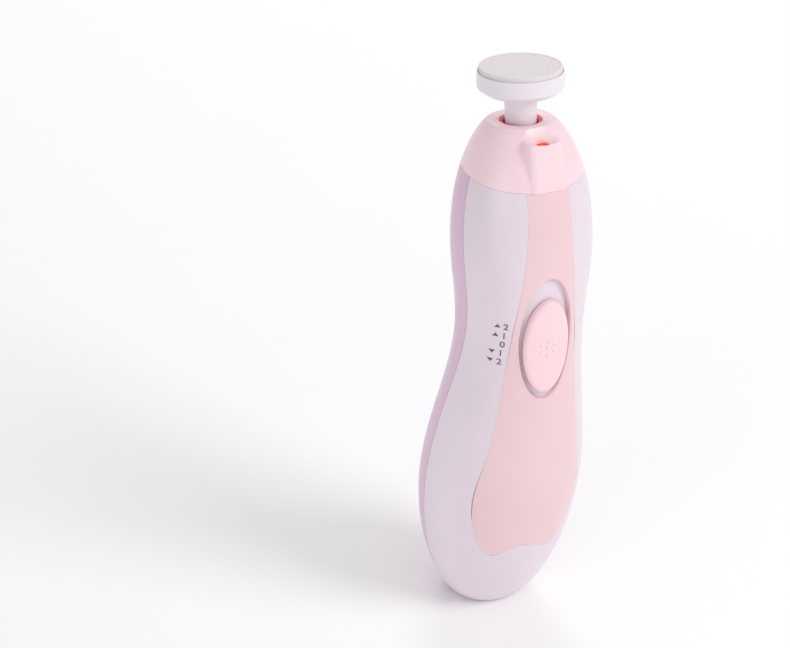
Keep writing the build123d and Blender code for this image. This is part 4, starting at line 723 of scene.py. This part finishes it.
class CALLUS_OT_inlay_panel(bpy.types.Operator):
    """Build the two-lobed inlay panel with its rolled edges and the oval recess"""
    bl_idname = "callus.inlay_panel"
    bl_label = "Inlay Panel"

    thickness, grow = 1.2, 0.07
    above, below = 4.0, 4.4         # how stretched the border lies above and below the recess

    def outline(self, top, count):
        """Right half of the outline, from the nose seam down to the notch between the lobes."""
        foot = centre_line(NOSE_TOP)[1]
        curve = clamped_curve([(5.4, foot), (6.3, 104.0), (8.6, 83.0), (12.5, 50.0), (13.7, 32.0),
                               (7.3, 21.0), (0, 23.4)], (0, -1), (-1, 0), 2000)
        return evenly(curve[curve[:, 1] <= top], count)

    def execute(self, context):
        sizes = context.scene.callus_sizes
        # where the panel meets the nose, seen from the front
        height = 118.0
        for _ in range(12):
            height = SEAM_HEIGHT - reach(FRONT_DEPTH, height) * SEAM_SLOPE - 0.05
        top = float(placed(0.0, -reach(FRONT_DEPTH, height), height)[2])
        side = self.outline(top, 200)
        half_top = np.linspace(0, side[0, 0], 24)[:-1]
        right = np.concatenate([np.stack([half_top, np.full_like(half_top, top)], -1), side])
        left = right[1:-1][::-1] * (-1, 1)
        border = np.concatenate([right, left])
        # moved outwards a little, square to its own direction, so that the joint line stays thin
        along = np.roll(border, -1, axis=0) - np.roll(border, 1, axis=0)
        along /= np.linalg.norm(along, axis=1, keepdims=True)
        border = border + self.grow * np.stack([-along[:, 1], along[:, 0]], -1)
        # the recess: an ellipse, each of its points facing the border point of the same turn
        centre_up = SLIDE_FOOT[2] + SLIDE_CENTRE * SLIDE[2]
        wide, tall = RECESS_WIDTH / 2 + 0.02, RECESS_LENGTH / 2 + 0.02
        rise = (border[:, 1] - centre_up) / np.where(border[:, 1] > centre_up, self.above, self.below)
        around = np.arctan2(rise, border[:, 0])
        slot = np.stack([wide * np.cos(around), tall * np.sin(around)], -1)
        slot_front = np.stack([slot[:, 0], centre_up + slot[:, 1] * SLIDE[2]], -1)
        step = np.linalg.norm(border - slot_front, axis=1)
        # rows from the recess edge to the border, closer together at both rolled edges, and last
        # the lower edge of the border and of the recess
        roll_in, roll_out = sizes.dish_roll, sizes.edge_roll
        distance_in = roll_in * np.sin(np.linspace(0, np.pi / 2, 7))
        drop_in = roll_in * (1 - np.sin(np.arccos(1 - distance_in / roll_in)))
        distance_out = roll_out * np.sin(np.linspace(0, np.pi / 2, 6))
        drop_out = roll_out * (1 - np.sin(np.arccos(1 - distance_out / roll_out)))
        middle = np.linspace(0, 1, 40)[1:-1]
        away = np.concatenate([distance_in[:, None] + 0 * step,
                               roll_in + (step - roll_in - roll_out) * middle[:, None],
                               step - distance_out[::-1, None], step[None], 0 * step[None]])
        rows = slot_front + (border - slot_front) * (away / step)[..., None]
        lifts = np.concatenate([sizes.panel_lift - drop_in, sizes.panel_lift + 0 * middle,
                                sizes.panel_lift - drop_out[::-1], [-self.thickness] * 2])
        grid = on_front(rows[..., 0], rows[..., 1], lifts[:, None] + 0 * rows[..., 0])
        panel = grid_piece("inlay_panel", grid, wrap_rows=True)
        give(panel, bpy.data.materials["inlay_plastic"])
        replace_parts(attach(panel, "handle"), "front_panel")
        return {"FINISHED"}


class CALLUS_OT_thumb_pad(bpy.types.Operator):
    """Build the crowned thumb button with its rolled edge and raised dots"""
    bl_idname = "callus.thumb_pad"
    bl_label = "Thumb Button"

    def execute(self, context):
        sizes = context.scene.callus_sizes
        columns = 192
        wide, tall = BUTTON_WIDTH / 2, BUTTON_LENGTH / 2
        angle = np.linspace(0, 2 * np.pi, columns, endpoint=False)
        roll = sizes.button_roll
        inward = np.concatenate([np.linspace(wide - 0.2, roll, 26)[:-1],
                                 roll * (1 - np.sin(np.linspace(0, np.pi / 2, 12)))])
        share = np.clip(1 - inward / roll, 0, 1)
        lift = sizes.button_rise - roll * (1 - np.sqrt(np.clip(1 - share ** 2, 0, 1)))
        lift = np.concatenate([lift, [-0.8, -0.8]])
        inward = np.concatenate([inward, [0.0, 1.5]])
        normal = np.stack([np.cos(angle) / wide, np.sin(angle) / tall], -1)
        normal /= np.linalg.norm(normal, axis=-1, keepdims=True)
        near = np.clip(1 - inward / (0.45 * wide), 0, 1)[:, None]
        part = (1 - inward / wide)[:, None]
        across = near * (wide * np.cos(angle) - inward[:, None] * normal[:, 0]) \
            + (1 - near) * part * wide * np.cos(angle)
        along = near * (tall * np.sin(angle) - inward[:, None] * normal[:, 1]) \
            + (1 - near) * part * tall * np.sin(angle)
        hollow = 0.12 * np.exp(-(across ** 2 + (along / 1.8) ** 2) / 18.0) * (lift[:, None] > 0.5)
        grid = on_slide(across, along, lift[:, None] - hollow)
        pad = grid_piece("thumb_pad", grid, caps=(True, True))
        give(pad, bpy.data.materials["button_plastic"])
        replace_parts(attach(pad, "slider"), "thumb_button")
        # seven round-topped dots, six of them in a ring round the middle one
        turn = np.arange(6) * np.pi / 3
        centres = np.concatenate([[[0.0, 0.0]], 1.9 * np.stack([np.sin(turn), np.cos(turn)], -1)])
        dome = np.linspace(0.0, np.pi / 2, 8)
        ring = np.linspace(0, 2 * np.pi, 24, endpoint=False)
        vertices, faces = [], []
        for middle in centres:
            spread = 0.5 * np.cos(dome[:-1])[:, None]
            dots = on_slide(middle[0] + spread * np.cos(ring), middle[1] + spread * np.sin(ring),
                            sizes.button_rise - 0.13 + 0.32 * np.sin(dome[:-1])[:, None] + 0 * ring)
            top = on_slide(np.array([middle[0]]), np.array([middle[1]]), sizes.button_rise + 0.19)
            first = sum(len(v) for v in vertices)
            faces += sheet_faces(7, 24, first=first)
            last = first + 6 * 24 + np.arange(24)
            faces += np.stack([last, np.roll(last, -1), np.full(24, first + 7 * 24)], -1).tolist()
            faces.append((first + np.arange(24))[::-1].tolist())
            vertices += [dots.reshape(-1, 3), top]
        dots = make_piece("thumb_dots", np.concatenate(vertices), faces, 60.0)
        tone = shade(context.scene.callus_colours.button, 1.06)
        give(dots, moulded("dot_plastic", tone, gloss=0.18))
        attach(dots, "slider")
        return {"FINISHED"}


class CALLUS_OT_position_marks(bpy.types.Operator):
    """Print the five switch positions beside the inlay, as plain digits with small arrows"""
    bl_idname = "callus.position_marks"
    bl_label = "Position Marks"

    heights = (85.7, 83.4, 81.2, 79.0, 76.8)
    digits = "21012"
    arrows = (1, 1, 0, -1, -1)
    digit_across, arrow_across = -10.3, -11.9
    ink_top, ink_foot, lean = 0.035, -0.05, 0.10

    def flat_digit(self, text, size):
        """Points and faces of a thin upright digit of the given size, from the built-in letters."""
        curve = bpy.data.curves.new("digit", "FONT")
        curve.body, curve.size, curve.extrude, curve.align_x = text, size / 0.7, 0.01, "CENTER"
        curve.offset = 0.015
        holder = bpy.data.objects.new("digit", curve)
        bpy.context.scene.collection.objects.link(holder)
        bpy.context.view_layer.update()
        mesh = bpy.data.meshes.new_from_object(holder)
        points = np.zeros(len(mesh.vertices) * 3)
        mesh.vertices.foreach_get("co", points)
        faces = [list(face.vertices) for face in mesh.polygons]
        bpy.data.objects.remove(holder)
        bpy.data.meshes.remove(mesh)
        return points.reshape(-1, 3), faces

    def execute(self, context):
        size = context.scene.callus_sizes.mark_height
        vertices, faces, first = [], [], 0
        for height, digit, arrow in zip(self.heights, self.digits, self.arrows):
            middle = float(placed(0.0, -11.1, height)[2])
            slide = (height - self.heights[2]) * self.lean
            points, outline = self.flat_digit(digit, size)
            across = self.digit_across + slide + points[:, 0]
            up = middle - size / 2 + points[:, 1] + self.lean * points[:, 0]
            deep = np.where(points[:, 2] > 0, self.ink_top, self.ink_foot)
            vertices.append(on_front(across, up, deep))
            faces += [[v + first for v in face] for face in outline]
            first += len(points)
            if arrow:
                corners = np.array([(-0.55, -0.45 * arrow), (0.55, -0.45 * arrow), (0, 0.5 * arrow)])
                flat = np.concatenate([corners, corners])
                deep = np.repeat([self.ink_top, self.ink_foot], 3)
                vertices.append(on_front(self.arrow_across + slide + flat[:, 0],
                                         middle + flat[:, 1] + self.lean * flat[:, 0], deep))
                faces += [[v + first for v in face] for face in
                          ((0, 1, 2), (5, 4, 3), (0, 3, 4, 1), (1, 4, 5, 2), (2, 5, 3, 0))]
                first += 6
        marks = make_piece("position_marks", np.concatenate(vertices), faces)
        ink = context.scene.callus_colours.print_ink
        give(marks, moulded("mark_ink", ink, gloss=0.45, coat=0.0, variation=0.2))
        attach(marks, "handle")
        return {"FINISHED"}


class CALLUS_OT_grinding_head(bpy.types.Operator):
    """Build the disc holder with its stem and the abrasive pad on top"""
    bl_idname = "callus.grinding_head"
    bl_label = "Grinding Head"

    def execute(self, context):
        # from the drive hole's roof down and out, up the stem, round the disc and into its recess
        stem = softened([(0.02, 135.9), (2.25, 135.9), (2.25, HEAD_LOW), (3.55, HEAD_LOW),
                         (3.75, 131.0), (3.95, 137.2), (4.5, 137.75), (8.6, 138.3), (10.4, 139.7),
                         (10.4, 143.6), (9.98, 143.6), (9.95, 142.85), (0.02, 142.82)], 0.35, 8)
        holder = grid_piece("file_holder", turned(stem, 160), caps=(True, True), smooth_angle=50.0)
        give(holder, bpy.data.materials["holder_plastic"])
        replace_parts(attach(holder, "head"), "head_base")
        # the pad: a rolled edge, and a face whose points stand up or down by a random grit height
        flat, columns, grit_height = 9.2, 220, 0.035
        edge = softened([(PAD_RADIUS, PAD_FOOT), (PAD_RADIUS, PAD_TOP), (flat, PAD_TOP)], 0.3, 8)
        rings = np.linspace(flat, 0.15, 44)
        face_rows = np.stack([rings, 0 * rings + PAD_TOP - 0.04], -1)
        face = turned(np.concatenate([[(rings[-1], PAD_FOOT)], edge, face_rows]), columns)
        random = np.random.default_rng(7)
        grit = random.uniform(-grit_height, grit_height, (len(rings), columns)) \
            * np.clip(rings / PAD_RADIUS, 0.2, 1)[:, None]
        up = on_shaft(0.0, 0.0, 1.0) - on_shaft(0.0, 0.0, 0.0)
        face[-len(rings):] += grit[..., None] * up
        pad = grid_piece("grit_pad", face, caps=(True, True), smooth_angle=60.0)
        give(pad, bpy.data.materials["pad_grit"])
        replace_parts(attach(pad, "head"), "sanding_pad")
        return {"FINISHED"}


class CALLUS_OT_stage(bpy.types.Operator):
    """Set the pale floor, the soft lights and the camera"""
    bl_idname = "callus.stage"
    bl_label = "Stage"

    def execute(self, context):
        scene, stage = context.scene, context.scene.callus_stage
        scene.view_settings.view_transform = "Standard"
        low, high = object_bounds()
        half = 3.0
        mesh = bpy.data.meshes.new("floor")
        mesh.from_pydata([(-half, -half, low.z), (half, -half, low.z), (half, half, low.z),
                          (-half, half, low.z)], [], [(0, 1, 2, 3)])
        floor = bpy.data.objects.new("floor", mesh)
        scene.collection.objects.link(floor)
        give(floor, studio_floor("floor_paper", stage.floor))
        floor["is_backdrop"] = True
        world = bpy.data.worlds.new("studio")
        scene.world = world
        world.use_nodes = True
        background = world.node_tree.nodes["Background"]
        background.inputs["Color"].default_value = (1.0, 1.0, 1.0, 1.0)
        background.inputs["Strength"].default_value = stage.world
        middle = (low + high) / 2
        for name, place, power, size, tint in (
                ("key", (0.55, -0.55, 0.75), 1.0, 0.55, (1.0, 0.985, 0.98)),
                ("fill", (-0.75, -0.45, 0.30), 0.26, 0.6, (1.0, 0.95, 0.99)),
                ("rim", (0.25, 0.7, 0.55), 0.40, 0.5, (1.0, 1.0, 1.0))):
            light = bpy.data.lights.new(name, "AREA")
            light.shape, light.size, light.energy = "DISK", size, stage.key_power * power
            light.color = tint
            lamp = bpy.data.objects.new(name, light)
            lamp.location = Vector(place)
            lamp.rotation_euler = (middle - lamp.location).to_track_quat("-Z", "Y").to_euler()
            scene.collection.objects.link(lamp)
        self.set_camera(scene, stage.distance)
        return {"FINISHED"}

    def set_camera(self, scene, distance):
        """Camera round the shaft's frame: a direction by azimuth and elevation, aimed so that the
        waist lands right of the middle, then rolled a little."""
        azimuth, elevation, roll = math.radians(-28.0), math.radians(22.0), math.radians(0.8)
        shaft = Vector((0, math.sin(TILT), math.cos(TILT)))
        behind = Vector((0, math.cos(TILT), -math.sin(TILT)))
        side = Vector((1, 0, 0))
        out = math.sin(azimuth) * math.cos(elevation) * side \
            - math.cos(azimuth) * math.cos(elevation) * behind + math.sin(elevation) * shaft
        waist = Vector(placed(0.0, 0.0, 80.0)) * MM
        aim_right, aim_up = math.tan(math.radians(1.881)), math.tan(math.radians(0.069))
        right = (-out).cross(shaft).normalized()
        above = right.cross(-out)
        ahead = (-out - aim_right * right - aim_up * above).normalized()
        right = ahead.cross(shaft).normalized()
        above = right.cross(ahead)
        right, above = math.cos(roll) * right - math.sin(roll) * above, \
            math.sin(roll) * right + math.cos(roll) * above
        lens = bpy.data.cameras.new("camera")
        lens.sensor_width, lens.lens = 36.0, 170.4
        lens.clip_start, lens.clip_end = 0.01, 20.0
        camera = bpy.data.objects.new("camera", lens)
        turned_to = Matrix((right, above, -ahead)).transposed().to_4x4()
        camera.matrix_world = Matrix.Translation(waist + out * distance) @ turned_to
        scene.collection.objects.link(camera)
        scene.camera = camera


class CALLUS_PT_panel(bpy.types.Panel):
    """Lists the pieces of the callus file"""
    bl_idname = "CALLUS_PT_panel"
    bl_label = "Callus File"
    bl_space_type = "VIEW_3D"
    bl_region_type = "UI"
    bl_category = "Callus File"

    def draw(self, context):
        for operator in OPERATORS:
            self.layout.operator(operator.bl_idname)
        for group in (context.scene.callus_colours, context.scene.callus_sizes,
                      context.scene.callus_stage):
            box = self.layout.box()
            for name in group.bl_rna.properties.keys():
                if name not in ("rna_type", "name"):
                    box.prop(group, name)


OPERATORS = (CALLUS_OT_finish_frame, CALLUS_OT_nose_hood, CALLUS_OT_work_light,
             CALLUS_OT_inlay_panel, CALLUS_OT_thumb_pad, CALLUS_OT_position_marks,
             CALLUS_OT_grinding_head, CALLUS_OT_stage)
GROUPS = {"callus_colours": CallusFileColours, "callus_sizes": CallusFileSizes,
          "callus_stage": CallusFileStage}


def register():
    for group in GROUPS.values():
        bpy.utils.register_class(group)
    for operator in OPERATORS:
        bpy.utils.register_class(operator)
    bpy.utils.register_class(CALLUS_PT_panel)
    for name, group in GROUPS.items():
        setattr(bpy.types.Scene, name, PointerProperty(type=group))


def unregister():
    for name in GROUPS:
        delattr(bpy.types.Scene, name)
    bpy.utils.unregister_class(CALLUS_PT_panel)
    for kind in reversed((*GROUPS.values(), *OPERATORS)):
        bpy.utils.unregister_class(kind)


def main():
    """Registers the classes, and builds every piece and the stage."""
    register()
    bpy.ops.callus.finish_frame()
    bpy.ops.callus.nose_hood()
    bpy.ops.callus.work_light()
    bpy.ops.callus.inlay_panel()
    bpy.ops.callus.thumb_pad()
    bpy.ops.callus.position_marks()
    bpy.ops.callus.grinding_head()
    bpy.ops.callus.stage()


if __name__ == "__main__":
    main()
